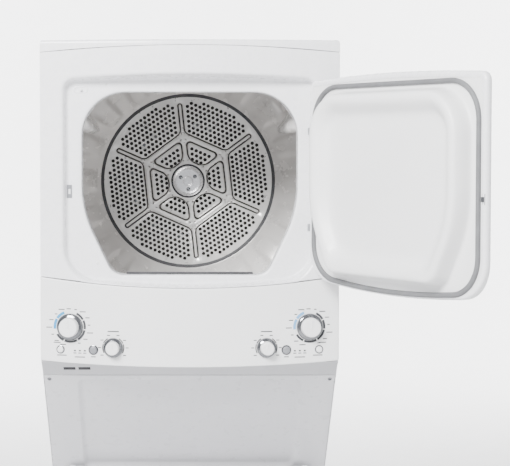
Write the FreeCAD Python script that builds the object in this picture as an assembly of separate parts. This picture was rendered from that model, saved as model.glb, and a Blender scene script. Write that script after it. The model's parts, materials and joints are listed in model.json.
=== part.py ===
import FreeCAD, Part
import math
import os

V = FreeCAD.Vector

# A stacked laundry centre: a top-loading washer with a front-loading dryer above it.
# Millimetres. +Z is up, the front faces -Y, +X is to the right.
# The origin is on the floor under the middle of the washer's cabinet.
# The dryer's door is modelled open, at DOOR_REST degrees, hinged on the right.

# ---- driving dimensions: cabinet
WIDTH = 683.0
HEIGHT = 1924.0
DEPTH = 760.0
SHEET = 1.2
LINER = 3.0
FOOT_HEIGHT = 25.0
BASE_HEIGHT = 40.0
DECK_Z = 870.0
DECK_LIP = 30.0
DRYER_SETBACK = 60.0
FRONT_BOW = 35.0
SLANT_TOP_Z = 1213.0
SLANT_RUN = 312.0
CLEAR = 0.3
SEAT_GAP = 0.4

# ---- dryer front, recess and door
TOP_CAP = 27.0
TOP_ARCH = 15.0
FRONT_RETURN = 18.0
SEAM_SIDE_Z = 1386.0
SEAM_ARCH = 24.0
RECESS_HALF = 286.0
RECESS_DEPTH = 24.0
RECESS_DRAFT = 3.0
RECESS_TOP_Z = 1833.0
RECESS_ARCH = 9.0
RECESS_LIP = 2.0
RECESS_TOP_R = 24.0
RECESS_LOW_R = 82.0
ARCH_SPREAD = 0.68
MOUTH_TOP_Z = 1807.0
MOUTH_LOW_Z = 1388.0
MOUTH_HALF = 247.0
MOUTH_FLAT_LOW = 176.0
MOUTH_TOP_R = 100.0
MOUTH_SIDE_R = 260.0
MOUTH_LOW_R = 40.0
MOUTH_SIDE_LOW_Z = 1535.0
DOOR_GAP = 3.5
DOOR_CHAMFER = 6.0
DOOR_REST = 122.0
GASKET_W = 11.0
GASKET_INSET = 15.0
GASKET_TOP_INSET = 10.0
GASKET_LOW_INSET = 4.0
GASKET_R = 84.0
GASKET_T = 8.0
PLUG_GAP = 3.0
PLUG_RAISE = 8.0
PLUG_HEIGHT = 42.0
PLUG_DRAFT = 7.0
PLUG_RIM = 30.0
DISH_DEPTH = 26.0
DISH_DRAFT = 16.0
HINGE_PIN_R = 2.0
HINGE_LEN = 56.0
HINGE_FIT = 0.06
HINGE_IN = 2.4
HINGE_EYE_R = 3.4
HINGE_EYE_H = 16.0
HINGE_PLATE = 1.4
HINGE_PITCH = 220.0
HINGE_RAISE = 10.0

# ---- drum and its drive
DRUM_Z = 1590.0
DRUM_R = 320.0
DRUM_WALL = 1.5
DRUM_CONE = 60.0
DRUM_BACK_Y = 278.0
DISC_R = 228.0
DISC_RIM = 8.0
HUB_R = 41.0
SHAFT_R = 12.0
FIT = 0.05
LIFTER_H = 60.0
LIFTER_W = 70.0
LIFTER_LEN = 300.0
COLLAR_R = 290.0
BEARING_R = 22.0
BEARING_LEN = 26.0
PAN_Z = 1030.0
PAN_FRONT_Y = -132.0
MOTOR_Z = 1150.0
MOTOR_R = 66.0
MOTOR_SHAFT_R = 6.0
MOTOR_FRONT_Y = -70.0
MOTOR_LEN = 130.0
PULLEY_R = 13.0
BELT_W = 9.0
BELT_T = 2.4
BELT_Y = 100.0
WHEEL_R = 76.0
WHEEL_LEN = 44.0
BLOWER_R = 88.0
BLOWER_FRONT_Y = -150.0
BLOWER_LEN = 62.0
FILTER_HALF = 138.0
FILTER_T = 12.0
FILTER_H = 150.0
DUCT_WALL = 2.0
EXHAUST_R = 50.8
EXHAUST_X = -190.0
EXHAUST_OUT = 24.0
TAIL_GAP = 1.0
PIPE_WALL = 1.0
STEP = 0.8
IDLER_DOWN = 0.78
IDLER_R = 15.0
IDLER_ARM = 70.0
IDLER_SLOPE = 55.0
HEATER_DEPTH = 62.0

# ---- console and controls
CONSOLE_LOW_Z = 1193.0
CONSOLE_ARCH = 11.0
CONSOLE_WALL = 3.0
STRIP_LOW_Z = 1150.0
BIG_KNOB_X = 273.0
BIG_KNOB_Z = 1272.0
SMALL_KNOB_X = 174.0
SMALL_KNOB_Z = 1226.0
BIG_KNOB_R = 30.5
SMALL_KNOB_R = 23.0
KNOB_H = 24.0
KNOB_STEM_R = 4.0
OUTER_BUTTON_X = 295.0
INNER_BUTTON_X = 219.5
BUTTON_Z = 1220.0
OUTER_BUTTON_R = 7.2
INNER_BUTTON_R = 8.8
BUTTON_H = 5.0
BUTTON_TRAVEL = 2.5
BUTTON_STEM_R = 3.0
SWITCH_DEPTH = 22.0
SWITCH_SET = 22.0
STEM_IN = 5.0
TIMER_HALF = 26.0
SELECTOR_HALF = 15.0
PUSH_HALF = 9.0
PLUNGER_R = 3.0
PLUNGER_OUT = 7.5
PLUNGER_X = -249.0
PLUNGER_Z = 1812.0
CATCH_Z = 1580.0

# ---- washer
LID_HALF = 280.0
LID_FRONT_GAP = 26.0
LID_REAR_GAP = 30.0
LID_T = 14.0
LID_CORNER = 26.0
LID_LIFT = 3.0
LID_PIN_R = 4.0
LID_PIN_IN = 6.0
HOLE_INSET = 24.0
HOLE_CORNER = 60.0
TUB_Y = -75.0
TUB_R = 282.0
TUB_WALL = 4.0
TUB_LOW_Z = 330.0
TUB_TOP_Z = 800.0
BASKET_R = 262.0
BASKET_WALL = 1.5
BASKET_LOW_Z = 358.0
BASKET_TOP_Z = 784.0
AGITATOR_R = 58.0
AGITATOR_SKIRT_R = 150.0
AGITATOR_H = 330.0
TUBE_R = 20.0
GEARCASE_R = 80.0
GEARCASE_H = 74.0
WASH_PULLEY_R = 90.0
WASH_PULLEY_Z = 210.0
WASH_MOTOR_X = 192.0
GEAR_LEG_OUT = 30.0
WASH_MOTOR_R = 62.0
WASH_MOTOR_H = 100.0
WASH_SMALL_R = 28.0
SPIN_R = 15.0
AGIT_SHAFT_R = 8.0
ROD_X = 232.0
FOOT_X = 290.0
FOOT_Y = 325.0
ROD_R = 5.0
FOOT_R = 22.0
PUMP_X = -185.0
PUMP_R = 48.0
PUMP_H = 44.0
PUMP_TOP_Z = 300.0
PUMP_SPIGOT_R = 16.0
INLET_Z = 800.0
INLET_X = 200.0
INLET_R = 13.2
INLET_SPACING = 70.0
DRAIN_R = 14.0
DRAIN_X = 120.0
DRAIN_Z = 800.0
DRAIN_OUT = 26.0
DRAIN_BEND = 40.0
INLET_OUT = 16.0
SCREW_R = 4.5
SCREW_IN = 1.4
CORD_HOLE_R = 14.0
CORD_BORE_R = 8.0
CORD_X = 240.0
CORD_Z = 1300.0

# ---- places that follow from them
HALF = WIDTH / 2
FRONT_Y = -DEPTH / 2
REAR_Y = DEPTH / 2
DRYER_Y = FRONT_Y + DRYER_SETBACK
SLANT_FOOT_Y = DRYER_Y + SLANT_RUN
SLANT_RISE = SLANT_TOP_Z - DECK_Z
BOW_R = (HALF ** 2 + FRONT_BOW ** 2) / (2 * FRONT_BOW)
SIDE_EDGE_Y = DRYER_Y + FRONT_RETURN + CLEAR
BULKHEAD_Y = DRYER_Y + 58.0
DRUM_FRONT_Y = BULKHEAD_Y + 8.0
DRUM_IN_R = DRUM_R - DRUM_WALL
REAR_BULK_Y = DRUM_BACK_Y + 14.0
SWITCH_Y = DRYER_Y + FRONT_RETURN + SWITCH_SET
LID_PIN_Y = SLANT_FOOT_Y - LID_REAR_GAP - LID_PIN_IN
LID_PIN_Z = DECK_Z + LID_LIFT + LID_T / 2


def bow_y(x, inset=0.0):
    """Front surface of the bowed fascia at x, set back by inset."""
    return DRYER_Y - FRONT_BOW + BOW_R - math.sqrt((BOW_R - inset) ** 2 - x ** 2)


def slant_y(z):
    """Front edge of the dryer's side panels, where they slope back to the deck."""
    return DRYER_Y + SLANT_RUN * max(0.0, SLANT_TOP_Z - z) / SLANT_RISE


def seam_z(x):
    """Seam between the dryer's front and the console: an arch that sags in the middle."""
    return SEAM_SIDE_Z - SEAM_ARCH * (1 - (x / HALF) ** 2)


SIDE_Y = bow_y(RECESS_HALF)
FLANGE_Y = SIDE_Y + RECESS_DEPTH
DOOR_BACK_Y = FLANGE_Y - GASKET_T - SEAT_GAP
DOOR_FRONT_Y = SIDE_Y + DOOR_CHAMFER
TUNNEL_Y = FLANGE_Y + 12.0 + CLEAR
FILTER_Y = BULKHEAD_Y - FILTER_T - 6.0
PIN_X = RECESS_HALF - HINGE_IN
PIN_Y = SIDE_Y - 0.4
HINGE_MID_Z = (RECESS_TOP_Z + seam_z(0)) / 2 + HINGE_RAISE


# ---- helpers
def box(x0, x1, y0, y1, z0, z1):
    return Part.makeBox(x1 - x0, y1 - y0, z1 - z0, V(x0, y0, z0))


def rod(r, start, along, length):
    return Part.makeCylinder(r, length, V(*start), V(*along))


def tube(r_out, r_in, start, along, length):
    return rod(r_out, start, along, length).cut(rod(r_in, start, along, length))


def fuse(first, *rest):
    shape = first.fuse(list(rest)) if rest else first
    return shape.removeSplitter()


def mirrored(shape):
    return shape.mirror(V(0, 0, 0), V(1, 0, 0))


def write(name, shape):
    shape.exportStep("parts/" + name + ".step")


def rounded(corners, plane="xz", level=0.0):
    """Closed wire through corners (u, v, radius), each turned by a tangent arc."""
    def place(u, v):
        return V(u, level, v) if plane == "xz" else V(u, v, level)
    marks = []
    count = len(corners)
    for i, (u, v, r) in enumerate(corners):
        here = place(u, v)
        if r <= 0:
            marks.append((here, here, here))
            continue
        before = place(*corners[i - 1][:2]) - here
        after = place(*corners[(i + 1) % count][:2]) - here
        half = before.getAngle(after) / 2
        reach = r / math.tan(half)
        before.normalize()
        after.normalize()
        middle = before + after
        middle.normalize()
        bulge = r / math.sin(half) - r
        marks.append((here + before * reach, here + middle * bulge, here + after * reach))
    edges = []
    for i, (start, mid, end) in enumerate(marks):
        if (end - start).Length > 1e-6:
            edges.append(Part.Arc(start, mid, end).toShape())
        following = marks[(i + 1) % count][0]
        if (following - end).Length > 1e-6:
            edges.append(Part.LineSegment(end, following).toShape())
    return Part.Wire(edges)


def prism_y(wire, y0, y1):
    """Solid of a wire in the XZ plane at y = 0, swept from y0 to y1."""
    face = Part.Face(wire)
    face.translate(V(0, y0, 0))
    return face.extrude(V(0, y1 - y0, 0))


def prism_z(wire, height):
    return Part.Face(wire).extrude(V(0, 0, height))


def turned(profile, centre, along):
    """Solid of revolution of (radius, distance along the axis) points."""
    axis = V(*along)
    side = V(1, 0, 0)
    points = [V(*centre) + side * r + axis * t for r, t in profile]
    face = Part.Face(Part.makePolygon(points + points[:1]))
    return face.revolve(V(*centre), axis, 360)


def screw(x, y, z, along, head_r=4.5, length=10.0):
    """Pan-head screw whose head sits on the sheet at the given point."""
    out = V(*along)
    base = V(x, y, z)
    head = Part.makeCylinder(head_r, 2.4, base, out)
    shank = Part.makeCylinder(head_r * 0.4, length, base - out * length, out)
    return head.fuse(shank)


def bowed(x_half, z0, z1, inset, back_y):
    """Block between the bowed front surface, set back by inset, and the plane back_y."""
    left = V(-x_half, bow_y(x_half, inset), z0)
    right = V(x_half, bow_y(x_half, inset), z0)
    crown = V(0, bow_y(0, inset), z0)
    edges = [
        Part.Arc(left, crown, right).toShape(),
        Part.LineSegment(right, V(x_half, back_y, z0)).toShape(),
        Part.LineSegment(V(x_half, back_y, z0), V(-x_half, back_y, z0)).toShape(),
        Part.LineSegment(V(-x_half, back_y, z0), left).toShape(),
    ]
    return Part.Face(Part.Wire(edges)).extrude(V(0, 0, z1 - z0))


def arch_block(side_z, rise, down_to, y0, y1):
    """Block under a shallow arch: side_z at the cabinet's sides, side_z + rise in the middle."""
    points = (V(-HALF - 1, y0, side_z), V(0, y0, side_z + rise), V(HALF + 1, y0, side_z))
    edges = [
        Part.Arc(*points).toShape(),
        Part.LineSegment(points[2], V(HALF + 1, y0, down_to)).toShape(),
        Part.LineSegment(V(HALF + 1, y0, down_to), V(-HALF - 1, y0, down_to)).toShape(),
        Part.LineSegment(V(-HALF - 1, y0, down_to), points[0]).toShape(),
    ]
    return Part.Face(Part.Wire(edges)).extrude(V(0, y1 - y0, 0))


# ---- outlines of the dryer's front
def apex(half, rise, z):
    """Middle corner that turns a straight edge into a shallow arch of the given rise."""
    height = rise / (1 - ARCH_SPREAD / 2)
    return (0.0, z + height, ARCH_SPREAD * half ** 2 / abs(height))


def recess(inset):
    """Outline of the recess that the dryer's door closes into."""
    half = RECESS_HALF - inset
    top = RECESS_TOP_Z - inset
    low = seam_z(RECESS_HALF) + RECESS_LIP + inset
    sag = seam_z(0) - seam_z(RECESS_HALF)
    return rounded([
        (-half, low, RECESS_LOW_R - inset),
        apex(half, sag, low),
        (half, low, RECESS_LOW_R - inset),
        (half, top, RECESS_TOP_R - inset),
        apex(half, RECESS_ARCH, top),
        (-half, top, RECESS_TOP_R - inset),
    ])


def mouth(inset, low_raise=0.0):
    """Outline of the loading mouth: round above, drawn in towards the sill."""
    half = MOUTH_HALF - inset
    flat = MOUTH_FLAT_LOW - 0.6 * inset
    top = MOUTH_TOP_Z - inset
    low = MOUTH_LOW_Z + inset + low_raise
    side = (half, MOUTH_SIDE_LOW_Z, MOUTH_SIDE_R)
    top_r = MOUTH_TOP_R - inset
    return rounded([
        (-flat, low, MOUTH_LOW_R),
        (flat, low, MOUTH_LOW_R),
        side,
        (half, top, top_r),
        (-half, top, top_r),
        (-half,) + side[1:],
    ])


def gasket_line(inset):
    """Outline of the seal on the door's liner, inset from its outer edge."""
    half = RECESS_HALF - DOOR_GAP - GASKET_INSET - inset
    top = RECESS_TOP_Z - DOOR_GAP - GASKET_TOP_INSET - inset
    low = seam_z(RECESS_HALF) + RECESS_LIP + DOOR_GAP + GASKET_LOW_INSET + inset
    sag = seam_z(0) - seam_z(RECESS_HALF)
    r = GASKET_R - inset
    return rounded([
        (-half, low, r),
        apex(half, sag, low),
        (half, low, r),
        (half, top, r),
        (-half, top, r),
    ])


def moved_y(wire, y):
    copy = wire.copy()
    copy.translate(V(0, y, 0))
    return copy


def loft_y(first, y0, second, y1):
    return Part.makeLoft([moved_y(first, y0), moved_y(second, y1)], True, True)


# ---- dryer: cabinet
def dryer_sides():
    edge = 14.0
    profile = [
        V(0, REAR_Y - SHEET - CLEAR, DECK_Z + SEAT_GAP),
        V(0, SLANT_FOOT_Y, DECK_Z + SEAT_GAP),
        V(0, SIDE_EDGE_Y, SLANT_TOP_Z - (SIDE_EDGE_Y - DRYER_Y) * SLANT_RISE / SLANT_RUN),
        V(0, SIDE_EDGE_Y, HEIGHT - TOP_CAP - CLEAR),
        V(0, REAR_Y - SHEET - CLEAR, HEIGHT - TOP_CAP - CLEAR),
    ]
    face = Part.Face(Part.makePolygon(profile + profile[:1]))
    face.translate(V(HALF - SHEET, 0, 0))
    panel = face.extrude(V(SHEET, 0, 0))
    rear = box(HALF - edge, HALF - SHEET, REAR_Y - 2 * SHEET - CLEAR, REAR_Y - SHEET - CLEAR,
               DECK_Z + SEAT_GAP, HEIGHT - TOP_CAP - CLEAR)
    foot = box(HALF - edge, HALF - SHEET, SLANT_FOOT_Y + edge, REAR_Y - 2 * SHEET,
               DECK_Z + SEAT_GAP, DECK_Z + SEAT_GAP + SHEET)
    side = fuse(panel, rear, foot)
    return Part.makeCompound([side, mirrored(side)])


def dryer_top():
    """Top panel: a shallow tray, upside down, with its front edge bowed and arched."""
    z_low = HEIGHT - TOP_CAP
    outer = bowed(HALF, z_low, HEIGHT, 0.0, REAR_Y - SHEET - CLEAR)
    inner = bowed(HALF - SHEET, z_low, HEIGHT - SHEET, SHEET, REAR_Y - 2 * SHEET - CLEAR)
    front = arch_block(z_low, TOP_ARCH, z_low - 50, DRYER_Y - 2 * FRONT_BOW, DRYER_Y + FRONT_RETURN)
    return outer.cut([inner, front])


def rear_panels():
    """Upper and lower rear panels, one solid each."""
    upper = box(-HALF, HALF, REAR_Y - SHEET, REAR_Y, DECK_Z + SEAT_GAP, HEIGHT)
    upper = upper.cut(rod(EXHAUST_R + SEAT_GAP, (EXHAUST_X, REAR_Y - 20, MOTOR_Z), (0, 1, 0), 40))
    upper = upper.cut(rod(CORD_HOLE_R, (CORD_X, REAR_Y - 20, CORD_Z), (0, 1, 0), 40))
    lower = box(-HALF, HALF, REAR_Y - SHEET, REAR_Y, FOOT_HEIGHT, DECK_Z - DECK_LIP - CLEAR)
    for side in (-1, 1):
        x = INLET_X + side * INLET_SPACING / 2
        lower = lower.cut(rod(INLET_R + SEAT_GAP, (x, REAR_Y - 20, INLET_Z), (0, 1, 0), 40))
    lower = lower.cut(rod(DRAIN_R + SEAT_GAP, (DRAIN_X, REAR_Y - 20, DRAIN_Z), (0, 1, 0), 40))
    for row in range(6):
        for column in range(8):
            x = -250 + column * 28
            z = 1560 + row * 22
            upper = upper.cut(box(x, x + 18, REAR_Y - 5, REAR_Y + 5, z, z + 5))
    holes = screw_holes(rear_screws())
    return Part.makeCompound([upper.cut(holes), lower.cut(holes)])


def fascia_block(inset, back_y):
    """Bowed block between the console's seam and the top panel's arched front edge."""
    z_top = HEIGHT - TOP_CAP - CLEAR - inset
    body = bowed(HALF - inset, SEAM_SIDE_Z - SEAM_ARCH, z_top + TOP_ARCH, inset, back_y)
    y0 = DRYER_Y - 2 * FRONT_BOW
    under_top = arch_block(z_top, TOP_ARCH, SEAM_SIDE_Z - 2 * SEAM_ARCH, y0, back_y + 1)
    under_seam = arch_block(SEAM_SIDE_Z + inset, -SEAM_ARCH, SEAM_SIDE_Z - 60, y0, back_y + 1)
    return body.common(under_top).cut(under_seam)


def dryer_front():
    """Pressed front: a bowed pan, a recess for the door, and a flange round the mouth."""
    back = DRYER_Y + FRONT_RETURN
    pan = fascia_block(0.0, back).cut(fascia_block(SHEET, back + 1))
    nose = DRYER_Y - 2 * FRONT_BOW
    hollow = fuse(prism_y(recess(0), nose, SIDE_Y),
                  loft_y(recess(0), SIDE_Y, recess(RECESS_DRAFT), FLANGE_Y))
    tray = fuse(prism_y(recess(-SHEET), nose, SIDE_Y),
                loft_y(recess(-SHEET), SIDE_Y, recess(RECESS_DRAFT - SHEET), FLANGE_Y + SHEET))
    tray = tray.common(fascia_block(0.0, back + 40))
    lip = prism_y(mouth(-SHEET), FLANGE_Y, FLANGE_Y + 12.0)
    front = pan.cut(hollow).fuse([tray, lip]).cut(hollow)
    front = front.cut(prism_y(mouth(0), nose, FLANGE_Y + 30))
    switch = rod(PLUNGER_R + CLEAR, (PLUNGER_X, FLANGE_Y - 5, PLUNGER_Z), (0, 1, 0), 20)
    long = HINGE_LEN / 2 + 1
    beyond = HINGE_EYE_R + 1
    notches = [box(RECESS_HALF - 1, PIN_X + beyond, nose, PIN_Y + beyond, z - long, z + long)
               for z in hinge_spans()]
    return front.cut([switch] + notches).removeSplitter()


# ---- dryer: air path
def front_bulkhead():
    """Plate behind the front, with the tunnel of the mouth and the collar the drum glides on."""
    reach = HALF - SHEET - CLEAR
    plate = box(-reach, reach, BULKHEAD_Y, BULKHEAD_Y + SHEET, SLANT_TOP_Z + 40, HEIGHT - TOP_CAP - 8)
    tunnel = prism_y(mouth(-SHEET), TUNNEL_Y, BULKHEAD_Y + SHEET)
    collar = tube(COLLAR_R, COLLAR_R - 2, (0, BULKHEAD_Y, DRUM_Z), (0, 1, 0), 30.0)
    hole = prism_y(mouth(0), TUNNEL_Y - 1, BULKHEAD_Y + 40)
    flange = box(-reach, -reach + 12, BULKHEAD_Y, BULKHEAD_Y + 14, SLANT_TOP_Z + 60, HEIGHT - TOP_CAP - 60)
    shape = plate.fuse([tunnel, collar, flange, mirrored(flange)]).cut(hole)
    half = FILTER_HALF + SEAT_GAP
    slot = box(-half, half, FILTER_Y - SEAT_GAP, FILTER_Y + FILTER_T + SEAT_GAP,
               MOUTH_LOW_Z - 5, MOUTH_LOW_Z + 5)
    return shape.cut(slot).removeSplitter()


def lint_filter():
    """Framed screen that drops through the sill into the duct, with a pull along its top."""
    half = FILTER_HALF
    frame = box(-half, half, FILTER_Y, FILTER_Y + FILTER_T, MOUTH_LOW_Z - FILTER_H, MOUTH_LOW_Z)
    window = box(-half + 10, half - 10, FILTER_Y + 3, FILTER_Y + FILTER_T + 1,
                 MOUTH_LOW_Z - FILTER_H + 10, MOUTH_LOW_Z - 12)
    pull = box(-half - 8, half + 8, FILTER_Y - 2, FILTER_Y + FILTER_T + 2,
               MOUTH_LOW_Z + CLEAR, MOUTH_LOW_Z + 4)
    neck = box(-half, half, FILTER_Y, FILTER_Y + FILTER_T, MOUTH_LOW_Z - 1, MOUTH_LOW_Z + 2)
    return frame.cut(window).fuse([pull, neck]).removeSplitter()


def blower_housing():
    """Lint duct, blower scroll and outlet box, moulded together."""
    wall = DUCT_WALL
    wide = FILTER_HALF + 4
    y_in = (FILTER_Y - 4, FILTER_Y + FILTER_T + 4)
    top = MOUTH_LOW_Z - SHEET - CLEAR
    turn = SLANT_TOP_Z - 6
    back = BLOWER_FRONT_Y + wall
    low = MOTOR_Z - 52

    def runs(g):
        return [
            box(-wide + g, wide - g, y_in[0] + g, y_in[1] - g, turn + g, top + g),
            box(-wide + g, wide - g, y_in[0] + g, back - g, turn + g, turn + 42 - g),
            box(-60 + g, 60 - g, back - 30 + g, back - g, low + g, turn + 10),
            rod(BLOWER_R - g, (0, BLOWER_FRONT_Y + g, MOTOR_Z), (0, 1, 0), BLOWER_LEN - 2 * g),
            box(EXHAUST_X - 56 + g, -40, BLOWER_FRONT_Y + g, BLOWER_FRONT_Y + BLOWER_LEN - g,
                MOTOR_Z - 56 + g, MOTOR_Z + 56 - g),
        ]
    outside = runs(0.0)
    inside = runs(wall)
    shell = outside[0].fuse(outside[1:]).cut(inside[0].fuse(inside[1:]))
    inlet = rod(46.0, (0, back - 8, MOTOR_Z), (0, 1, 0), 16)
    rear = rod(MOTOR_SHAFT_R + 2, (0, BLOWER_FRONT_Y + 20, MOTOR_Z), (0, 1, 0), BLOWER_LEN)
    outlet = rod(EXHAUST_R - 2, (EXHAUST_X, BLOWER_FRONT_Y + 20, MOTOR_Z), (0, 1, 0), BLOWER_LEN)
    foot = box(-70, 70, BLOWER_FRONT_Y + 20, BLOWER_FRONT_Y + BLOWER_LEN,
               PAN_Z + SHEET, MOTOR_Z - BLOWER_R + 4)
    foot = foot.cut(rod(BLOWER_R - 1, (0, BLOWER_FRONT_Y, MOTOR_Z), (0, 1, 0), 90))
    return shell.cut([inlet, rear, outlet]).fuse(foot).removeSplitter()


def exhaust_duct():
    start = BLOWER_FRONT_Y + BLOWER_LEN
    collar_y = REAR_Y + TAIL_GAP
    bore = EXHAUST_R - STEP - PIPE_WALL
    pipe = tube(EXHAUST_R - STEP, bore, (EXHAUST_X, start, MOTOR_Z), (0, 1, 0), collar_y - start)
    collar = tube(EXHAUST_R, bore, (EXHAUST_X, collar_y, MOTOR_Z), (0, 1, 0), EXHAUST_OUT - TAIL_GAP)
    stand = box(EXHAUST_X - 14, EXHAUST_X + 14, REAR_Y - 60, REAR_Y - 45,
                PAN_Z + SHEET, MOTOR_Z - EXHAUST_R + 3)
    stand = stand.cut(rod(EXHAUST_R - 1, (EXHAUST_X, 0, MOTOR_Z), (0, 1, 0), REAR_Y))
    return pipe.fuse([collar, stand]).removeSplitter()


def dryer_base_pan():
    """Shelf over the washer that carries the blower, the motor and the idler."""
    reach = HALF - SHEET - CLEAR
    rear = REAR_Y - 2 * (SHEET + CLEAR)
    plate = box(-reach, reach, PAN_FRONT_Y, rear, PAN_Z, PAN_Z + SHEET)
    edge = box(-reach, -reach + SHEET, PAN_FRONT_Y, REAR_BULK_Y - CLEAR, PAN_Z, PAN_Z + 18)
    post = box(IDLER_BASE_X - 12, IDLER_BASE_X + 12, BELT_Y + 22, BELT_Y + 25, PAN_Z, IDLER_BASE_Z + 10)
    pin = rod(4.0, (IDLER_BASE_X, BELT_Y + 10, IDLER_BASE_Z), (0, 1, 0), 13)
    return fuse(plate, edge, mirrored(edge), post, pin)


def rear_bulkhead():
    """Rear wall of the drum's space: carries the bearing and lets the hot air in."""
    reach = HALF - SHEET - CLEAR
    plate = box(-reach, reach, REAR_BULK_Y, REAR_BULK_Y + SHEET, PAN_Z + SHEET, HEIGHT - TOP_CAP - 8)
    flange = box(-reach, -reach + SHEET, REAR_BULK_Y, REAR_BULK_Y + 20, PAN_Z + 40, HEIGHT - TOP_CAP - 20)
    cuts = [rod(SHAFT_R + 4, (0, REAR_BULK_Y - 1, DRUM_Z), (0, 1, 0), 10),
            rod(EXHAUST_R + 1, (EXHAUST_X, REAR_BULK_Y - 1, MOTOR_Z), (0, 1, 0), 10)]
    for i in range(24):
        a = math.radians(15 * i + 7.5)
        spot = (150 * math.cos(a), REAR_BULK_Y - 1, DRUM_Z + 150 * math.sin(a))
        cuts.append(rod(8.0, spot, (0, 1, 0), 10))
    return plate.fuse([flange, mirrored(flange)]).cut(cuts).removeSplitter()


def drum_bearing():
    start = REAR_BULK_Y + SHEET
    sleeve = tube(BEARING_R, SHAFT_R + FIT, (0, start, DRUM_Z), (0, 1, 0), BEARING_LEN)
    flange = tube(BEARING_R + 16, SHAFT_R + FIT, (0, start, DRUM_Z), (0, 1, 0), 4.0)
    return sleeve.fuse(flange).removeSplitter()


def heater_housing():
    """Box on the rear bulkhead that holds the heater and its coil frame."""
    y0 = REAR_BULK_Y + SHEET
    body = box(-200, 200, y0, y0 + HEATER_DEPTH, DRUM_Z - 200, DRUM_Z + 200)
    inner = box(-198, 198, y0 - 1, y0 + HEATER_DEPTH - 2, DRUM_Z - 198, DRUM_Z + 198)
    bars = [box(-198, 198, y0 + 40, y0 + 44, z, z + 6) for z in (DRUM_Z - 110, DRUM_Z + 104)]
    return body.cut(inner).fuse(bars).removeSplitter()


# ---- dryer: drum and drive
def drum_shell():
    length = DRUM_BACK_Y - DRUM_FRONT_Y
    lip = COLLAR_R + CLEAR
    wall = DRUM_WALL
    profile = [
        (lip, 0), (DRUM_R, 0), (DRUM_R, length - DRUM_CONE), (DISC_R + DISC_RIM, length),
        (DISC_R - DISC_RIM, length), (DISC_R - DISC_RIM, length - wall),
        (DISC_R + DISC_RIM - 1, length - wall), (DRUM_IN_R, length - DRUM_CONE - 1),
        (DRUM_IN_R, wall), (lip + wall, wall), (lip + wall, 14), (lip, 14),
    ]
    return turned(profile, (0, DRUM_FRONT_Y, DRUM_Z), (0, 1, 0))


def drum_lifters():
    """Three hollow vanes on the drum's inner wall."""
    lifters = []
    y0 = DRUM_FRONT_Y + 40
    seat = DRUM_IN_R - LIFTER_H
    corners = [(-LIFTER_W / 2, DRUM_IN_R - 1, 0), (LIFTER_W / 2, DRUM_IN_R - 1, 0),
               (LIFTER_W / 5, seat, 10), (-LIFTER_W / 5, seat, 10)]
    inner = [(u * 0.88, v + (3 if r else 1), r * 0.8) for u, v, r in corners]
    centre = V(0, 0, DRUM_Z)
    for i in range(3):
        vane = prism_y(rounded(corners), y0, y0 + LIFTER_LEN)
        vane = vane.cut(prism_y(rounded(inner), y0 + 3, y0 + LIFTER_LEN - 3))
        vane.translate(centre)
        vane = vane.common(rod(DRUM_IN_R - CLEAR, (0, y0, DRUM_Z), (0, 1, 0), LIFTER_LEN))
        vane.rotate(centre, V(0, 1, 0), 120 * i + 60)
        lifters.append(vane)
    return Part.makeCompound(lifters)


def drum_back():
    """Perforated disc that closes the drum and lets the air in."""
    disc = rod(DISC_R + DISC_RIM - 2, (0, DRUM_BACK_Y, DRUM_Z), (0, 1, 0), DRUM_WALL)
    cuts = [rod(SHAFT_R + FIT, (0, DRUM_BACK_Y - 1, DRUM_Z), (0, 1, 0), 5)]
    for radius, count in ((70, 12), (100, 18), (140, 24), (180, 30)):
        for i in range(count):
            a = 2 * math.pi * i / count
            spot = (radius * math.cos(a), DRUM_BACK_Y - 1, DRUM_Z + radius * math.sin(a))
            cuts.append(rod(4.0, spot, (0, 1, 0), 5))
    return disc.cut(cuts)


def drum_hub():
    """Dished hub in front of the disc, on the shaft that runs in the rear bearing."""
    cap = rod(HUB_R, (0, DRUM_BACK_Y - 8, DRUM_Z), (0, 1, 0), 8)
    dish = rod(HUB_R - 5, (0, DRUM_BACK_Y - 9, DRUM_Z), (0, 1, 0), 4)
    boss = rod(SHAFT_R + 4, (0, DRUM_BACK_Y - 7, DRUM_Z), (0, 1, 0), 6)
    end = REAR_BULK_Y + SHEET + BEARING_LEN + 6
    shaft = rod(SHAFT_R, (0, DRUM_BACK_Y - 4, DRUM_Z), (0, 1, 0), end - DRUM_BACK_Y + 4)
    screws = [screw(22 * math.cos(a), DRUM_BACK_Y - 5, DRUM_Z + 22 * math.sin(a), (0, -1, 0), 5.0, 3.0)
              for a in (math.radians(90 + 120 * i) for i in range(3))]
    return cap.cut(dish).fuse([boss, shaft] + screws).removeSplitter()


def blower_wheel():
    """Motor shaft with the blower wheel on its front end and the belt pulley at its rear."""
    front = BLOWER_FRONT_Y + 8
    shaft = rod(MOTOR_SHAFT_R, (0, front, MOTOR_Z), (0, 1, 0), BELT_Y + BELT_W - front)
    plate = rod(WHEEL_R, (0, front + WHEEL_LEN - 3, MOTOR_Z), (0, 1, 0), 3)
    hub = rod(14, (0, front + 6, MOTOR_Z), (0, 1, 0), WHEEL_LEN - 6)
    blades = []
    for i in range(16):
        blade = box(WHEEL_R - 24, WHEEL_R - 2, front, front + WHEEL_LEN - 2, MOTOR_Z - 1, MOTOR_Z + 1)
        blade.rotate(V(0, 0, MOTOR_Z), V(0, 1, 0), 22.5 * i)
        blades.append(blade)
    pulley = rod(PULLEY_R, (0, BELT_Y - BELT_W / 2, MOTOR_Z), (0, 1, 0), BELT_W)
    rims = [rod(PULLEY_R + 4, (0, y, MOTOR_Z), (0, 1, 0), 2)
            for y in (BELT_Y - BELT_W / 2 - 2, BELT_Y + BELT_W / 2)]
    return shaft.fuse([plate, hub, pulley] + blades + rims).removeSplitter()


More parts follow.
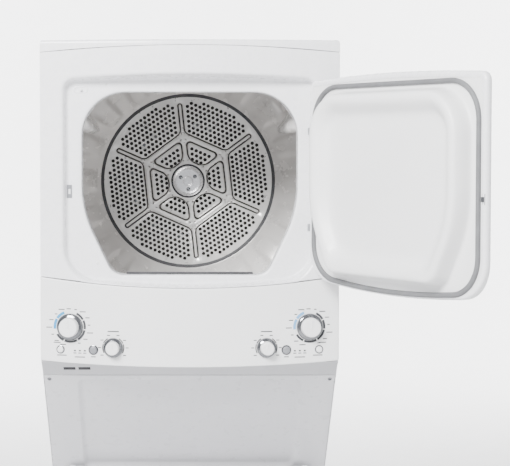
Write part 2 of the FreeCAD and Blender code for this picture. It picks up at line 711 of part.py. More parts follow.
def dryer_motor():
    can = tube(MOTOR_R, MOTOR_SHAFT_R + FIT, (0, MOTOR_FRONT_Y, MOTOR_Z), (0, 1, 0), MOTOR_LEN)
    y0 = MOTOR_FRONT_Y + 12
    foot = box(-52, 52, y0, y0 + MOTOR_LEN - 24, PAN_Z + SHEET, MOTOR_Z - MOTOR_R + 12)
    arch = box(-36, 36, y0 - 1, y0 + MOTOR_LEN, PAN_Z, MOTOR_Z - MOTOR_R - 8)
    foot = foot.cut([arch, rod(MOTOR_R - 1, (0, MOTOR_FRONT_Y, MOTOR_Z), (0, 1, 0), MOTOR_LEN)])
    return can.fuse(foot).removeSplitter()


def band(big_r, small_r, distance):
    """Loop in the XZ plane round a big wheel at the origin and a small one below it."""
    angle = math.acos((big_r - small_r) / distance)
    side, drop = math.sin(angle), math.cos(angle)
    high = [V(s * big_r * side, 0, -big_r * drop) for s in (-1, 1)]
    low = [V(s * small_r * side, 0, -distance - small_r * drop) for s in (-1, 1)]
    return Part.Wire([
        Part.Arc(high[0], V(0, 0, big_r), high[1]).toShape(),
        Part.LineSegment(high[1], low[1]).toShape(),
        Part.Arc(low[1], V(0, 0, -distance - small_r), low[0]).toShape(),
        Part.LineSegment(low[0], high[0]).toShape(),
    ])


def dryer_belt():
    drop = DRUM_Z - MOTOR_Z
    y0, y1 = BELT_Y - BELT_W / 2 + CLEAR, BELT_Y + BELT_W / 2 - CLEAR
    outer = prism_y(band(DRUM_R + CLEAR + BELT_T, PULLEY_R + CLEAR + BELT_T, drop), y0, y1)
    inner = prism_y(band(DRUM_R + CLEAR, PULLEY_R + CLEAR, drop), y0, y1)
    belt = outer.cut(inner)
    belt.translate(V(0, 0, DRUM_Z))
    return belt


def idler_arm():
    """Sprung arm that swings the idler wheel against the belt."""
    y0 = BELT_Y + 14
    a = math.degrees(math.atan2(IDLER_Z - IDLER_BASE_Z, IDLER_X - IDLER_BASE_X))
    reach = math.hypot(IDLER_Z - IDLER_BASE_Z, IDLER_X - IDLER_BASE_X)
    bar = box(0, reach, y0, y0 + 4, -7, 7)
    ends = [rod(10, (x, y0, 0), (0, 1, 0), 4) for x in (0, reach)]
    axle = rod(4, (reach, BELT_Y - 8, 0), (0, 1, 0), y0 + 4 - BELT_Y + 8)
    arm = bar.fuse(ends + [axle]).cut(rod(4 + FIT, (0, y0 - 1, 0), (0, 1, 0), 8))
    arm.rotate(V(0, 0, 0), V(0, 1, 0), -a)
    arm.translate(V(IDLER_BASE_X, 0, IDLER_BASE_Z))
    return arm.removeSplitter()


def idler_wheel():
    place = (IDLER_X, BELT_Y - BELT_W / 2, IDLER_Z)
    wheel = rod(IDLER_R, place, (0, 1, 0), BELT_W)
    rim = rod(IDLER_R + 2, (IDLER_X, BELT_Y + BELT_W / 2, IDLER_Z), (0, 1, 0), 2)
    return wheel.fuse(rim).cut(rod(4 + FIT, (IDLER_X, BELT_Y - 12, IDLER_Z), (0, 1, 0), 30))


# ---- dryer: door
def closed_to_rest(shape):
    """Swings a piece modelled with the door shut to where the door stands at rest."""
    turned_piece = shape.copy()
    turned_piece.rotate(V(PIN_X, PIN_Y, 0), V(0, 0, 1), DOOR_REST)
    return turned_piece


def door_block(inset, back_y):
    """Door's outline behind its bowed face, with the corner of its edge taken off."""
    nose = DRYER_Y - FRONT_BOW - 5
    chamfered = recess(DOOR_GAP + DOOR_CHAMFER + inset)
    front = SIDE_Y
    body = fuse(prism_y(recess(DOOR_GAP + inset), DOOR_FRONT_Y, back_y),
                loft_y(chamfered, front, recess(DOOR_GAP + inset), DOOR_FRONT_Y),
                prism_y(chamfered, nose, front))
    return body.common(bowed(HALF, SEAM_SIDE_Z - 60, HEIGHT, inset, back_y + 1))


def hinge_spans():
    """Middle height of each of the two door hinges."""
    return [HINGE_MID_Z - HINGE_PITCH / 2, HINGE_MID_Z + HINGE_PITCH / 2]


def hinge_room():
    """Notches in the door's edge: the length of each hinge, and deeper at its fixed eye."""
    notches = []
    for z in hinge_spans():
        long, tall = HINGE_LEN / 2 + 1, HINGE_EYE_H / 2 + 1
        notches.append(box(PIN_X - 7, RECESS_HALF + 1, PIN_Y - 8, PIN_Y + 11, z - long, z + long))
        notches.append(box(PIN_X - 7, RECESS_HALF + 1, PIN_Y - 8, DOOR_BACK_Y + 1, z - tall, z + tall))
    return Part.makeCompound(notches)


def door_outer():
    """Outer skin of the door, notched at its hinges."""
    skin = door_block(0.0, DOOR_BACK_Y - CLEAR).cut(door_block(SHEET, DOOR_BACK_Y + 1))
    return skin.cut(hinge_room())


def plug(t):
    """Raised plug of the door's liner, less its dish; t is how far inside the surface it lies."""
    crest = DOOR_BACK_Y + PLUG_HEIGHT - t
    rim = PLUG_GAP + PLUG_DRAFT
    up = PLUG_RAISE
    body = loft_y(mouth(PLUG_GAP + t, up), DOOR_BACK_Y - 1, mouth(rim + t, up), crest)
    dish = loft_y(mouth(rim + PLUG_RIM - t, up), crest + 1, mouth(rim + PLUG_RIM + DISH_DRAFT - t, up),
                  DOOR_BACK_Y + PLUG_HEIGHT - DISH_DEPTH - t)
    return body.cut(dish)


def door_inner():
    """Liner: a flange that closes the skin, and a hollow plug with a shallow dish."""
    y0 = DOOR_BACK_Y - LINER
    flange = prism_y(recess(DOOR_GAP + SHEET + CLEAR), y0, DOOR_BACK_Y)
    flange = flange.cut(prism_y(mouth(PLUG_GAP + LINER / 2, PLUG_RAISE), y0 - 1, DOOR_BACK_Y + 1))
    wall = plug(0.0).cut(plug(LINER))
    liner = flange.fuse(wall.common(box(-HALF, HALF, y0, FLANGE_Y + 90, 1300, HEIGHT)))
    return liner.cut(hinge_room()).removeSplitter()


def door_gasket():
    ring = prism_y(gasket_line(0), DOOR_BACK_Y, DOOR_BACK_Y + GASKET_T)
    return ring.cut(prism_y(gasket_line(GASKET_W), DOOR_BACK_Y - 1, FLANGE_Y))


def door_strike():
    """Steel strike on the free side of the door's flange."""
    x = -RECESS_HALF + DOOR_GAP + 7
    plate = box(x - 4, x + 4, DOOR_BACK_Y, DOOR_BACK_Y + 1.2, CATCH_Z - 11, CATCH_Z + 11)
    tongue = box(x - 2, x + 2, DOOR_BACK_Y, DOOR_BACK_Y + 6.0, CATCH_Z - 5, CATCH_Z + 5)
    return plate.fuse(tongue).removeSplitter()


def hinge_leaves():
    """Pin and plate of each hinge, fixed inside the door."""
    leaves = []
    for z in hinge_spans():
        low, high = z - HINGE_LEN / 2, z + HINGE_LEN / 2
        pin = rod(HINGE_PIN_R, (PIN_X, PIN_Y, low), (0, 0, 1), HINGE_LEN)
        reach = HINGE_EYE_H / 2 + 2
        back = box(PIN_X - 40, PIN_X - 8, PIN_Y + 8, PIN_Y + 10, low, high)
        ears = [box(PIN_X - x0, PIN_X + x1, PIN_Y + y0, PIN_Y + 10, end, end + HINGE_LEN / 2 - reach)
                for end in (low, z + reach) for x0, x1, y0 in ((6, 1, -1), (9, -5, 8))]
        seat = box(PIN_X - 38, PIN_X - 12, PIN_Y + 9, DOOR_BACK_Y - LINER, z - 12, z + 12)
        leaves.append(pin.fuse([back, seat] + ears).removeSplitter())
    return Part.makeCompound(leaves)


def hinge_brackets():
    """Fixed half of each hinge: a foot on the recess floor and an eye round the pin."""
    brackets = []
    for z in hinge_spans():
        low, high = z - HINGE_EYE_H / 2, z + HINGE_EYE_H / 2
        x1 = PIN_X - 1.6
        x0 = x1 - HINGE_PLATE
        riser = box(x0, x1, PIN_Y, FLANGE_Y, low, high)
        foot = box(x0 - 11, x1, FLANGE_Y - HINGE_PLATE, FLANGE_Y, low, high)
        eye = rod(HINGE_EYE_R, (PIN_X, PIN_Y, low), (0, 0, 1), HINGE_EYE_H)
        bore = rod(HINGE_PIN_R + HINGE_FIT, (PIN_X, PIN_Y, low - 1), (0, 0, 1), HINGE_EYE_H + 2)
        brackets.append(riser.fuse([foot, eye]).cut(bore).removeSplitter())
    return Part.makeCompound(brackets)


def door_catch():
    """Spring catch on the recess floor that grips the strike."""
    x = -RECESS_HALF + DOOR_GAP + 7
    body = box(x - 6, x + 6, FLANGE_Y - 1.5, FLANGE_Y, CATCH_Z - 15, CATCH_Z + 15)
    mouth_cut = box(x - 2.6, x + 2.6, FLANGE_Y - 3, FLANGE_Y + 1, CATCH_Z - 6, CATCH_Z + 6)
    return body.cut(mouth_cut)


def door_switch():
    """Switch body behind the recess floor; its plunger is pressed by the shut door."""
    body = box(PLUNGER_X - 14, PLUNGER_X + 14, FLANGE_Y + SHEET + CLEAR, FLANGE_Y + 22,
               PLUNGER_Z - 9, PLUNGER_Z + 9)
    return body.cut(rod(PLUNGER_R + FIT, (PLUNGER_X, FLANGE_Y, PLUNGER_Z), (0, 1, 0), 30))


def switch_plunger():
    reach = PLUNGER_OUT
    return rod(PLUNGER_R, (PLUNGER_X, FLANGE_Y - reach, PLUNGER_Z), (0, 1, 0), reach + 12 - PLUNGER_OUT)


# ---- console and its controls
def console_block(inset, back_y):
    low = CONSOLE_LOW_Z - CONSOLE_ARCH
    body = bowed(HALF - inset, low + inset, SEAM_SIDE_Z, inset, back_y)
    y0 = DRYER_Y - 2 * FRONT_BOW
    under_seam = arch_block(SEAM_SIDE_Z - 1.0 - inset, -SEAM_ARCH, low - 40, y0, back_y + 1)
    below = arch_block(CONSOLE_LOW_Z + inset, -CONSOLE_ARCH, low - 40, y0, back_y + 1)
    return body.common(under_seam).cut(below)


def control_places():
    """Centre of each control on the console, and the radius of what passes through it."""
    return [
        (-BIG_KNOB_X, BIG_KNOB_Z, KNOB_STEM_R), (BIG_KNOB_X, BIG_KNOB_Z, KNOB_STEM_R),
        (-SMALL_KNOB_X, SMALL_KNOB_Z, KNOB_STEM_R), (SMALL_KNOB_X, SMALL_KNOB_Z, KNOB_STEM_R),
        (-OUTER_BUTTON_X, BUTTON_Z, OUTER_BUTTON_R), (OUTER_BUTTON_X, BUTTON_Z, OUTER_BUTTON_R),
        (-INNER_BUTTON_X, BUTTON_Z, INNER_BUTTON_R), (INNER_BUTTON_X, BUTTON_Z, INNER_BUTTON_R),
    ]


def console_panel():
    """Bowed control panel with its underside sloping back to the access panel."""
    back = DRYER_Y + FRONT_RETURN
    shell = console_block(0.0, back).cut(console_block(CONSOLE_WALL, back + 1))
    reach = HALF - SHEET - SEAT_GAP
    y_top = back - CONSOLE_WALL
    y_low = slant_y(STRIP_LOW_Z)
    profile = [V(-reach, y_top, CONSOLE_LOW_Z), V(-reach, y_low, STRIP_LOW_Z),
               V(-reach, y_low + 3, STRIP_LOW_Z + 2), V(-reach, back, CONSOLE_LOW_Z),
               V(-reach, back, CONSOLE_LOW_Z + 12), V(-reach, y_top, CONSOLE_LOW_Z + 12)]
    strip = Part.Face(Part.makePolygon(profile + profile[:1])).extrude(V(2 * reach, 0, 0))
    shape = shell.fuse(strip)
    for x, z, r in control_places():
        hole = rod(r + CLEAR, (0, -10, 0), (0, 1, 0), 26)
        shape = shape.cut(on_console(hole, x, z))
    return shape.removeSplitter()


def access_panel():
    """Sloping panel from the console's underside down to the deck."""
    reach = HALF - SHEET - CLEAR
    z_top = STRIP_LOW_Z - CLEAR
    z_low = DECK_Z + SEAT_GAP
    t = 1.6
    profile = [V(-reach, slant_y(z_top) + CLEAR, z_top), V(-reach, slant_y(z_low) + CLEAR, z_low),
               V(-reach, slant_y(z_low) + t, z_low), V(-reach, slant_y(z_top) + t, z_top)]
    sheet = Part.Face(Part.makePolygon(profile + profile[:1])).extrude(V(2 * reach, 0, 0))
    return sheet.cut(screw_holes(slope_screws()))


def slope_screws():
    """Place and outward direction of the two screws in the sloping panel."""
    slope = math.atan2(SLANT_RUN, SLANT_RISE)
    z = STRIP_LOW_Z - 10
    out = (0, -math.cos(slope), -math.sin(slope))
    return [((side * (HALF - 14), slant_y(z) + CLEAR, z), out) for side in (-1, 1)]


def rear_screws():
    return [((side * (HALF - 6), REAR_Y, z), (0, 1, 0)) for side in (-1, 1)
            for z in (120, 500, DECK_Z + 60, 1400, HEIGHT - 40)]


def screw_holes(places):
    """Clearance holes for the shanks of the screws at the given places."""
    holes = []
    for point, out in places:
        start = V(*point) - V(*out) * 6
        holes.append(Part.makeCylinder(SCREW_R * 0.4 + FIT, 12, start, V(*out)))
    return Part.makeCompound(holes)


def panel_screws():
    """Screws that show: two in the sloping panel, and those of the rear panels."""
    places = slope_screws() + rear_screws()
    return Part.makeCompound([screw(*point, out, SCREW_R, SCREW_IN) for point, out in places])


def on_console(shape, x, z):
    """Moves a piece from the origin, facing -Y, to the console's surface at x, z."""
    shape.rotate(V(0, 0, 0), V(0, 0, 1), math.degrees(math.asin(x / BOW_R)))
    shape.translate(V(x, bow_y(x), z))
    return shape


def switch_depth(x):
    """Distance along the normal from the console's surface to the switch plate."""
    return (SWITCH_Y - bow_y(x)) / math.cos(math.asin(x / BOW_R))


def knob(x, z, r):
    """Turned knob with a pointer ridge, on a stem that reaches its switch."""
    base = -SEAT_GAP
    body = turned([(0, 0), (r, 0), (r, 5), (r - 4, 8), (r * 0.66, 9), (r * 0.62, KNOB_H), (0, KNOB_H)],
                  (0, base, 0), (0, -1, 0))
    ridge = box(-1, 1, base - KNOB_H - 1, base - KNOB_H + 2, 0, r * 0.6)
    stem = rod(KNOB_STEM_R, (0, base - 1, 0), (0, 1, 0), switch_depth(x) - SWITCH_DEPTH + STEM_IN + 1)
    return on_console(body.fuse([ridge, stem]).removeSplitter(), x, z)


def button(x, z, r):
    cap = rod(r, (0, -BUTTON_H, 0), (0, 1, 0), BUTTON_H + 6)
    stem = rod(BUTTON_STEM_R, (0, 0, 0), (0, 1, 0), switch_depth(x) - SWITCH_DEPTH + STEM_IN)
    return on_console(cap.fuse(stem).removeSplitter(), x, z)


def control_switches():
    """Timers, selectors and push switches on their plates, and the door's switch."""
    switches = [door_switch()]
    for side in (-1, 1):
        blocks = []
        for x, z, r in control_places():
            if x * side < 0:
                continue
            half = TIMER_HALF if z == BIG_KNOB_Z else SELECTOR_HALF
            half = half if r == KNOB_STEM_R else PUSH_HALF
            rear = switch_depth(x)
            body = box(-half, half, rear - SWITCH_DEPTH, rear + 1, -half, half)
            bore = (KNOB_STEM_R if r == KNOB_STEM_R else BUTTON_STEM_R) + FIT
            deep = STEM_IN + BUTTON_TRAVEL + 2
            body = body.cut(rod(bore, (0, rear - SWITCH_DEPTH - 1, 0), (0, 1, 0), deep + 1))
            blocks.append(on_console(body, x, z))
        inner = side * (FILTER_HALF + 10)
        outer = side * (HALF - SHEET - CLEAR)
        plate = box(min(inner, outer), max(inner, outer), SWITCH_Y, SWITCH_Y + SHEET,
                    BUTTON_Z - 18, BIG_KNOB_Z + 40)
        switches.append(fuse(plate, *blocks))
    return Part.makeCompound(switches)


def cord_gland():
    """Strain-relief bush in the rear panel, where the supply lead enters."""
    y0 = REAR_Y - SHEET - 8
    body = rod(CORD_HOLE_R - CLEAR, (CORD_X, y0, CORD_Z), (0, 1, 0), 20)
    flange = rod(CORD_HOLE_R + 6, (CORD_X, REAR_Y + CLEAR, CORD_Z), (0, 1, 0), 3)
    return body.fuse(flange).cut(rod(CORD_BORE_R, (CORD_X, y0 - 1, CORD_Z), (0, 1, 0), 40))


# ---- washer
def footprint(inset, z, front_r=14.0):
    r = max(front_r - inset, 2.0)
    x = HALF - inset
    return rounded([(-x, FRONT_Y + inset, r), (x, FRONT_Y + inset, r),
                    (x, REAR_Y - inset, 0), (-x, REAR_Y - inset, 0)], "xy", z)


def washer_cabinet():
    """Wrap-round front and sides."""
    z_top = DECK_Z - DECK_LIP - CLEAR
    outer = prism_z(footprint(0, FOOT_HEIGHT), z_top - FOOT_HEIGHT)
    inner = prism_z(footprint(SHEET, FOOT_HEIGHT - 1), z_top)
    rear = box(-HALF - 1, HALF + 1, REAR_Y - SHEET - CLEAR, REAR_Y + 1, 0, HEIGHT)
    return outer.cut([inner, rear])


def washer_base():
    """Frame of four channels with a plate in each corner for the feet."""
    gap = SHEET + CLEAR
    z1 = FOOT_HEIGHT + BASE_HEIGHT
    rear = box(-HALF, HALF, REAR_Y - SHEET - CLEAR, REAR_Y + 1, 0, z1 + 1)
    frame = prism_z(footprint(gap, FOOT_HEIGHT), BASE_HEIGHT)
    inner = prism_z(footprint(gap + 40, FOOT_HEIGHT - 1), BASE_HEIGHT + 2)
    hollow = prism_z(footprint(gap + 2, FOOT_HEIGHT + 2), BASE_HEIGHT)
    frame = frame.cut([inner, hollow, rear])
    for sx in (-1, 1):
        for x, y in ((sx * FOOT_X, -FOOT_Y), (sx * FOOT_X, FOOT_Y)):
            plate = box(x - 30, x + 30, y - 30, y + 30, FOOT_HEIGHT, FOOT_HEIGHT + 3)
            frame = frame.fuse(plate).cut(rod(6 + FIT, (x, y, 0), (0, 0, 1), 60))
    bridge = box(-HALF + gap + 2, HALF - gap - 2, TUB_Y - 30, TUB_Y + 30, FOOT_HEIGHT, FOOT_HEIGHT + 3)
    return frame.fuse(bridge).removeSplitter()


def levelling_feet():
    feet = []
    for x in (-FOOT_X, FOOT_X):
        for y in (-FOOT_Y, FOOT_Y):
            pad = rod(FOOT_R, (x, y, 0), (0, 0, 1), 10)
            stem = rod(6, (x, y, 5), (0, 0, 1), FOOT_HEIGHT + 20)
            nut = rod(11, (x, y, FOOT_HEIGHT - 8), (0, 0, 1), 8 - CLEAR)
            feet.append(pad.fuse([stem, nut]).removeSplitter())
    return Part.makeCompound(feet)


def deck_hole(inset, z):
    x = LID_HALF - HOLE_INSET - inset
    y0 = FRONT_Y + LID_FRONT_GAP + HOLE_INSET + inset
    y1 = SLANT_FOOT_Y - LID_REAR_GAP - HOLE_INSET - inset
    r = HOLE_CORNER - inset
    return rounded([(-x, y0, r), (x, y0, r), (x, y1, r), (-x, y1, r)], "xy", z)


def hinge_ears():
    """Ear on the deck at each end of the lid's rear edge, bored for the lid's pin."""
    ears = []
    for side in (-1, 1):
        x = side * (LID_HALF + 2) - (14 if side < 0 else 0)
        block = box(x, x + 14, LID_PIN_Y - 9, LID_PIN_Y + 9, DECK_Z - SHEET, LID_PIN_Z + 8)
        ears.append(block.cut(rod(LID_PIN_R + FIT, (x - 1, LID_PIN_Y, LID_PIN_Z), (1, 0, 0), 16)))
    return ears


def washer_deck():
    """Pressed top with a turned-down edge, a skirted loading hole and the lid's hinge ears."""
    low = DECK_Z - DECK_LIP
    outer = prism_z(footprint(0, low), DECK_LIP)
    inner = prism_z(footprint(SHEET, low - 1), DECK_LIP + 1 - SHEET)
    skirt = prism_z(deck_hole(-SHEET, low), DECK_LIP)
    hole = prism_z(deck_hole(0, low - 1), DECK_LIP + 2)
    behind = box(-HALF - 1, HALF + 1, REAR_Y - SHEET - CLEAR, REAR_Y + 1, low - 1, DECK_Z + 1)
    return outer.cut(inner).fuse([skirt] + hinge_ears()).cut([hole, behind]).removeSplitter()


def lid_outline(inset, z):
    x = LID_HALF - inset
    y0 = FRONT_Y + LID_FRONT_GAP + inset
    y1 = SLANT_FOOT_Y - LID_REAR_GAP - inset
    return rounded([(-x, y0, LID_CORNER), (x, y0, LID_CORNER), (x, y1, 6), (-x, y1, 6)], "xy", z)


def washer_lid():
    z0 = DECK_Z + LID_LIFT
    outer = prism_z(lid_outline(0, z0), LID_T)
    inner = prism_z(lid_outline(SHEET, z0 - 1), LID_T + 1 - SHEET)
    shell = outer.cut(inner)
    for side in (-1, 1):
        pad = rod(6, (side * (LID_HALF - 12), FRONT_Y + LID_FRONT_GAP + 18, DECK_Z + CLEAR),
                  (0, 0, 1), LID_LIFT + LID_T - CLEAR)
        pin = rod(LID_PIN_R, (side * (LID_HALF - 8), LID_PIN_Y, LID_PIN_Z), (side, 0, 0), 24)
        shell = shell.fuse([pad, pin])
    return shell.removeSplitter()


def suspended(shape_at):
    """Four copies of a piece, one at each corner of the tub."""
    return Part.makeCompound([shape_at(sx * ROD_X, TUB_Y + sy * ROD_X)
                              for sx in (-1, 1) for sy in (-1, 1)])


def outer_tub():
    """Fixed tub: a wall with four rod ears, and a floor let into its foot with the drain spigot."""
    profile = [(TUB_R - TUB_WALL, TUB_LOW_Z), (TUB_R, TUB_LOW_Z), (TUB_R, TUB_TOP_Z),
               (TUB_R - 20, TUB_TOP_Z), (TUB_R - 20, TUB_TOP_Z - 3), (TUB_R - TUB_WALL, TUB_TOP_Z - 3)]
    wall = turned(profile, (0, TUB_Y, 0), (0, 0, 1))
    floor = tube(TUB_R - TUB_WALL - FIT, TUBE_R + FIT, (0, TUB_Y, TUB_LOW_Z), (0, 0, 1), TUB_WALL)
    ears = []
    for sx in (-1, 1):
        for sy in (-1, 1):
            x, y = sx * ROD_X, TUB_Y + sy * ROD_X
            ear = box(x - 16, x + 16, y - 16, y + 16, TUB_LOW_Z + 60, TUB_LOW_Z + 66)
            arm = box(min(x, x - sx * 40), max(x, x - sx * 40), y - 8, y + 8,
                      TUB_LOW_Z + 60, TUB_LOW_Z + 66)
            ear = ear.fuse(arm).cut(rod(TUB_R - 1, (0, TUB_Y, 0), (0, 0, 1), HEIGHT))
            ears.append(ear.cut(rod(ROD_R + FIT, (x, y, 0), (0, 0, 1), HEIGHT)))
    spigot = tube(PUMP_SPIGOT_R, PUMP_SPIGOT_R - 3, (PUMP_X, TUB_Y, PUMP_TOP_Z), (0, 0, 1),
                  TUB_LOW_Z + 1 - PUMP_TOP_Z)
    drain = rod(PUMP_SPIGOT_R - 3, (PUMP_X, TUB_Y, TUB_LOW_Z - 1), (0, 0, 1), TUB_WALL + 2)
    wall = wall.fuse(ears).removeSplitter()
    return Part.makeCompound([wall, floor.fuse(spigot).cut(drain).removeSplitter()])


def suspension_struts():
    """Rods hung from the cabinet's corners, each with its spring under the tub's ear."""
    def strut(x, y):
        top = DECK_Z - 60
        stem = rod(ROD_R, (x, y, TUB_LOW_Z + 6), (0, 0, 1), top - TUB_LOW_Z - 6)
        ball = Part.makeSphere(9, V(x, y, top))
        seat = rod(13, (x, y, TUB_LOW_Z + 2), (0, 0, 1), 4)
        coil = tube(12, 9, (x, y, TUB_LOW_Z + 6), (0, 0, 1), 54 - CLEAR)
        side = 1 if x > 0 else -1
        wall_x = side * (HALF - SHEET - CLEAR)
        hanger = box(min(x, wall_x), max(x, wall_x), y - 12, y + 12, top - 3, top + 3)
        return stem.fuse([ball, seat, coil, hanger]).removeSplitter()
    return suspended(strut)


def wash_gearcase():
    """Gearcase under the tub, with the fixed bearing tube through the tub's floor."""
    top = TUB_LOW_Z - CLEAR
    case = rod(GEARCASE_R, (0, TUB_Y, top - GEARCASE_H), (0, 0, 1), GEARCASE_H)
    sleeve = rod(TUBE_R, (0, TUB_Y, top - 1), (0, 0, 1), BASKET_LOW_Z - top - 4)
    bore = rod(SPIN_R + FIT, (0, TUB_Y, WASH_PULLEY_Z), (0, 0, 1), 400)
    legs = []
    for side in (-1, 1):
        x = side * (GEARCASE_R + GEAR_LEG_OUT)
        legs.append(box(x - 7, x + 7, TUB_Y - 20, TUB_Y + 20, FOOT_HEIGHT + 3, top - GEARCASE_H + 6))
        legs.append(box(min(x - 7, side * 60), max(x + 7, side * 60), TUB_Y - 20, TUB_Y + 20,
                        top - GEARCASE_H, top - GEARCASE_H + 6))
    return case.fuse([sleeve] + legs).cut(bore).removeSplitter()


def wash_basket():
    """Spin basket, its drive tube down to the gearcase and its balance ring."""
    wall = BASKET_WALL
    profile = [(AGIT_SHAFT_R + FIT, BASKET_LOW_Z), (BASKET_R, BASKET_LOW_Z), (BASKET_R, BASKET_TOP_Z),
               (BASKET_R - 26, BASKET_TOP_Z), (BASKET_R - 26, BASKET_TOP_Z - 30),
               (BASKET_R - wall, BASKET_TOP_Z - 30), (BASKET_R - wall, BASKET_LOW_Z + wall),
               (AGIT_SHAFT_R + FIT, BASKET_LOW_Z + wall)]
    basket = turned(profile, (0, TUB_Y, 0), (0, 0, 1))
    spin = tube(SPIN_R, AGIT_SHAFT_R + FIT, (0, TUB_Y, WASH_PULLEY_Z + 30), (0, 0, 1),
                BASKET_LOW_Z + 1 - WASH_PULLEY_Z - 30)
    holes = []
    for row in range(5):
        for i in range(12):
            a = 360 / 12 * (i + 0.5 * (row % 2))
            z = BASKET_LOW_Z + 60 + 70 * row
            hole = rod(4.0, (0, TUB_Y, z), (1, 0, 0), BASKET_R + 5)
            hole.rotate(V(0, TUB_Y, z), V(0, 0, 1), a)
            holes.append(hole)
    return basket.cut(Part.makeCompound(holes)).fuse(spin).removeSplitter()


def agitator():
    """Post with a skirt and four vanes, on the shaft inside the spin tube."""
    z0 = BASKET_LOW_Z + BASKET_WALL + 2
    r, skirt = AGITATOR_R, AGITATOR_SKIRT_R
    profile = [(0, z0), (skirt, z0), (skirt, z0 + 12), (r + 20, z0 + 50), (r, z0 + 110),
               (r * 0.8, z0 + AGITATOR_H - 20), (r * 0.6, z0 + AGITATOR_H), (0, z0 + AGITATOR_H)]
    post = turned(profile, (0, TUB_Y, 0), (0, 0, 1))
    shaft = rod(AGIT_SHAFT_R, (0, TUB_Y, WASH_PULLEY_Z + 12), (0, 0, 1), z0 - WASH_PULLEY_Z - 11)
    vanes = []
    for i in range(4):
        vane = box(r * 0.5, skirt - 6, TUB_Y - 4, TUB_Y + 4, z0 + 4, z0 + 90)
        upper = box(r * 0.5, r + 22, TUB_Y - 4, TUB_Y + 4, z0 + 80, z0 + AGITATOR_H - 60)
        for piece in (vane, upper):
            piece.rotate(V(0, TUB_Y, 0), V(0, 0, 1), 90 * i)
            vanes.append(piece)
    return post.fuse([shaft] + vanes).removeSplitter()


def wash_pulley():
    wheel = rod(WASH_PULLEY_R, (0, TUB_Y, WASH_PULLEY_Z - BELT_W / 2), (0, 0, 1), BELT_W)
    rims = [rod(WASH_PULLEY_R + 4, (0, TUB_Y, z), (0, 0, 1), 2)
            for z in (WASH_PULLEY_Z - BELT_W / 2 - 2, WASH_PULLEY_Z + BELT_W / 2)]
    pivot = rod(10, (0, TUB_Y, FOOT_HEIGHT + 3 + CLEAR), (0, 0, 1), WASH_PULLEY_Z - FOOT_HEIGHT - 3 - CLEAR)
    return wheel.fuse(rims + [pivot]).removeSplitter()


def wash_motor():
    """Drive motor beside the gearcase, standing on the base's front bridge."""
    z0 = WASH_PULLEY_Z - 24 - WASH_MOTOR_H
    can = tube(WASH_MOTOR_R, MOTOR_SHAFT_R + FIT, (WASH_MOTOR_X, TUB_Y, z0), (0, 0, 1), WASH_MOTOR_H)
    feet = [box(WASH_MOTOR_X + dx - 8, WASH_MOTOR_X + dx + 8, TUB_Y - 26, TUB_Y + 26,
                FOOT_HEIGHT + 3, z0 + 1) for dx in (-34, 34)]
    return can.fuse(feet).removeSplitter()


def wash_motor_rotor():
    z0 = WASH_PULLEY_Z - 24 - WASH_MOTOR_H + 6
    top = WASH_PULLEY_Z + BELT_W / 2 + 2
    shaft = rod(MOTOR_SHAFT_R, (WASH_MOTOR_X, TUB_Y, z0), (0, 0, 1), top - z0)
    pulley = rod(WASH_SMALL_R, (WASH_MOTOR_X, TUB_Y, WASH_PULLEY_Z - BELT_W / 2), (0, 0, 1), BELT_W)
    rims = [rod(WASH_SMALL_R + 3, (WASH_MOTOR_X, TUB_Y, z), (0, 0, 1), 2)
            for z in (WASH_PULLEY_Z - BELT_W / 2 - 2, WASH_PULLEY_Z + BELT_W / 2)]
    return shaft.fuse([pulley] + rims).removeSplitter()


def wash_belt():
    y0, y1 = -BELT_W / 2 + CLEAR, BELT_W / 2 - CLEAR
    outer = prism_y(band(WASH_PULLEY_R + CLEAR + BELT_T, WASH_SMALL_R + CLEAR + BELT_T, WASH_MOTOR_X), y0, y1)
    inner = prism_y(band(WASH_PULLEY_R + CLEAR, WASH_SMALL_R + CLEAR, WASH_MOTOR_X), y0, y1)
    belt = outer.cut(inner)
    belt.rotate(V(0, 0, 0), V(0, 1, 0), -90)
    belt.rotate(V(0, 0, 0), V(1, 0, 0), 90)
    belt.translate(V(0, TUB_Y, WASH_PULLEY_Z))
    return belt


def pump_housing():
    """Drain pump under the tub's spigot, with its outlet towards the rear."""
    z0 = PUMP_TOP_Z - PUMP_H
    body = tube(PUMP_R, PUMP_R - 3, (PUMP_X, TUB_Y, z0), (0, 0, 1), PUMP_H - CLEAR)
    floor = rod(PUMP_R, (PUMP_X, TUB_Y, z0), (0, 0, 1), 3)
    roof = tube(PUMP_R, PUMP_SPIGOT_R - 3, (PUMP_X, TUB_Y, PUMP_TOP_Z - 3 - CLEAR), (0, 0, 1), 3)
    motor = tube(30, 2.5 + FIT, (PUMP_X, TUB_Y, z0 - 40), (0, 0, 1), 41)
    foot = box(PUMP_X - 20, PUMP_X + 20, TUB_Y - 20, TUB_Y + 20, FOOT_HEIGHT + 3, z0 - 39)
    outlet = rod(DRAIN_R, (PUMP_X, TUB_Y + PUMP_R - 6, z0 + 18), (0, 1, 0), 26)
    bore = rod(DRAIN_R - 3, (PUMP_X, TUB_Y + PUMP_R - 12, z0 + 18), (0, 1, 0), 40)
    shaft = rod(2.5 + FIT, (PUMP_X, TUB_Y, z0 - 1), (0, 0, 1), 5)
    return body.fuse([floor, roof, motor, foot, outlet]).cut([bore, shaft]).removeSplitter()


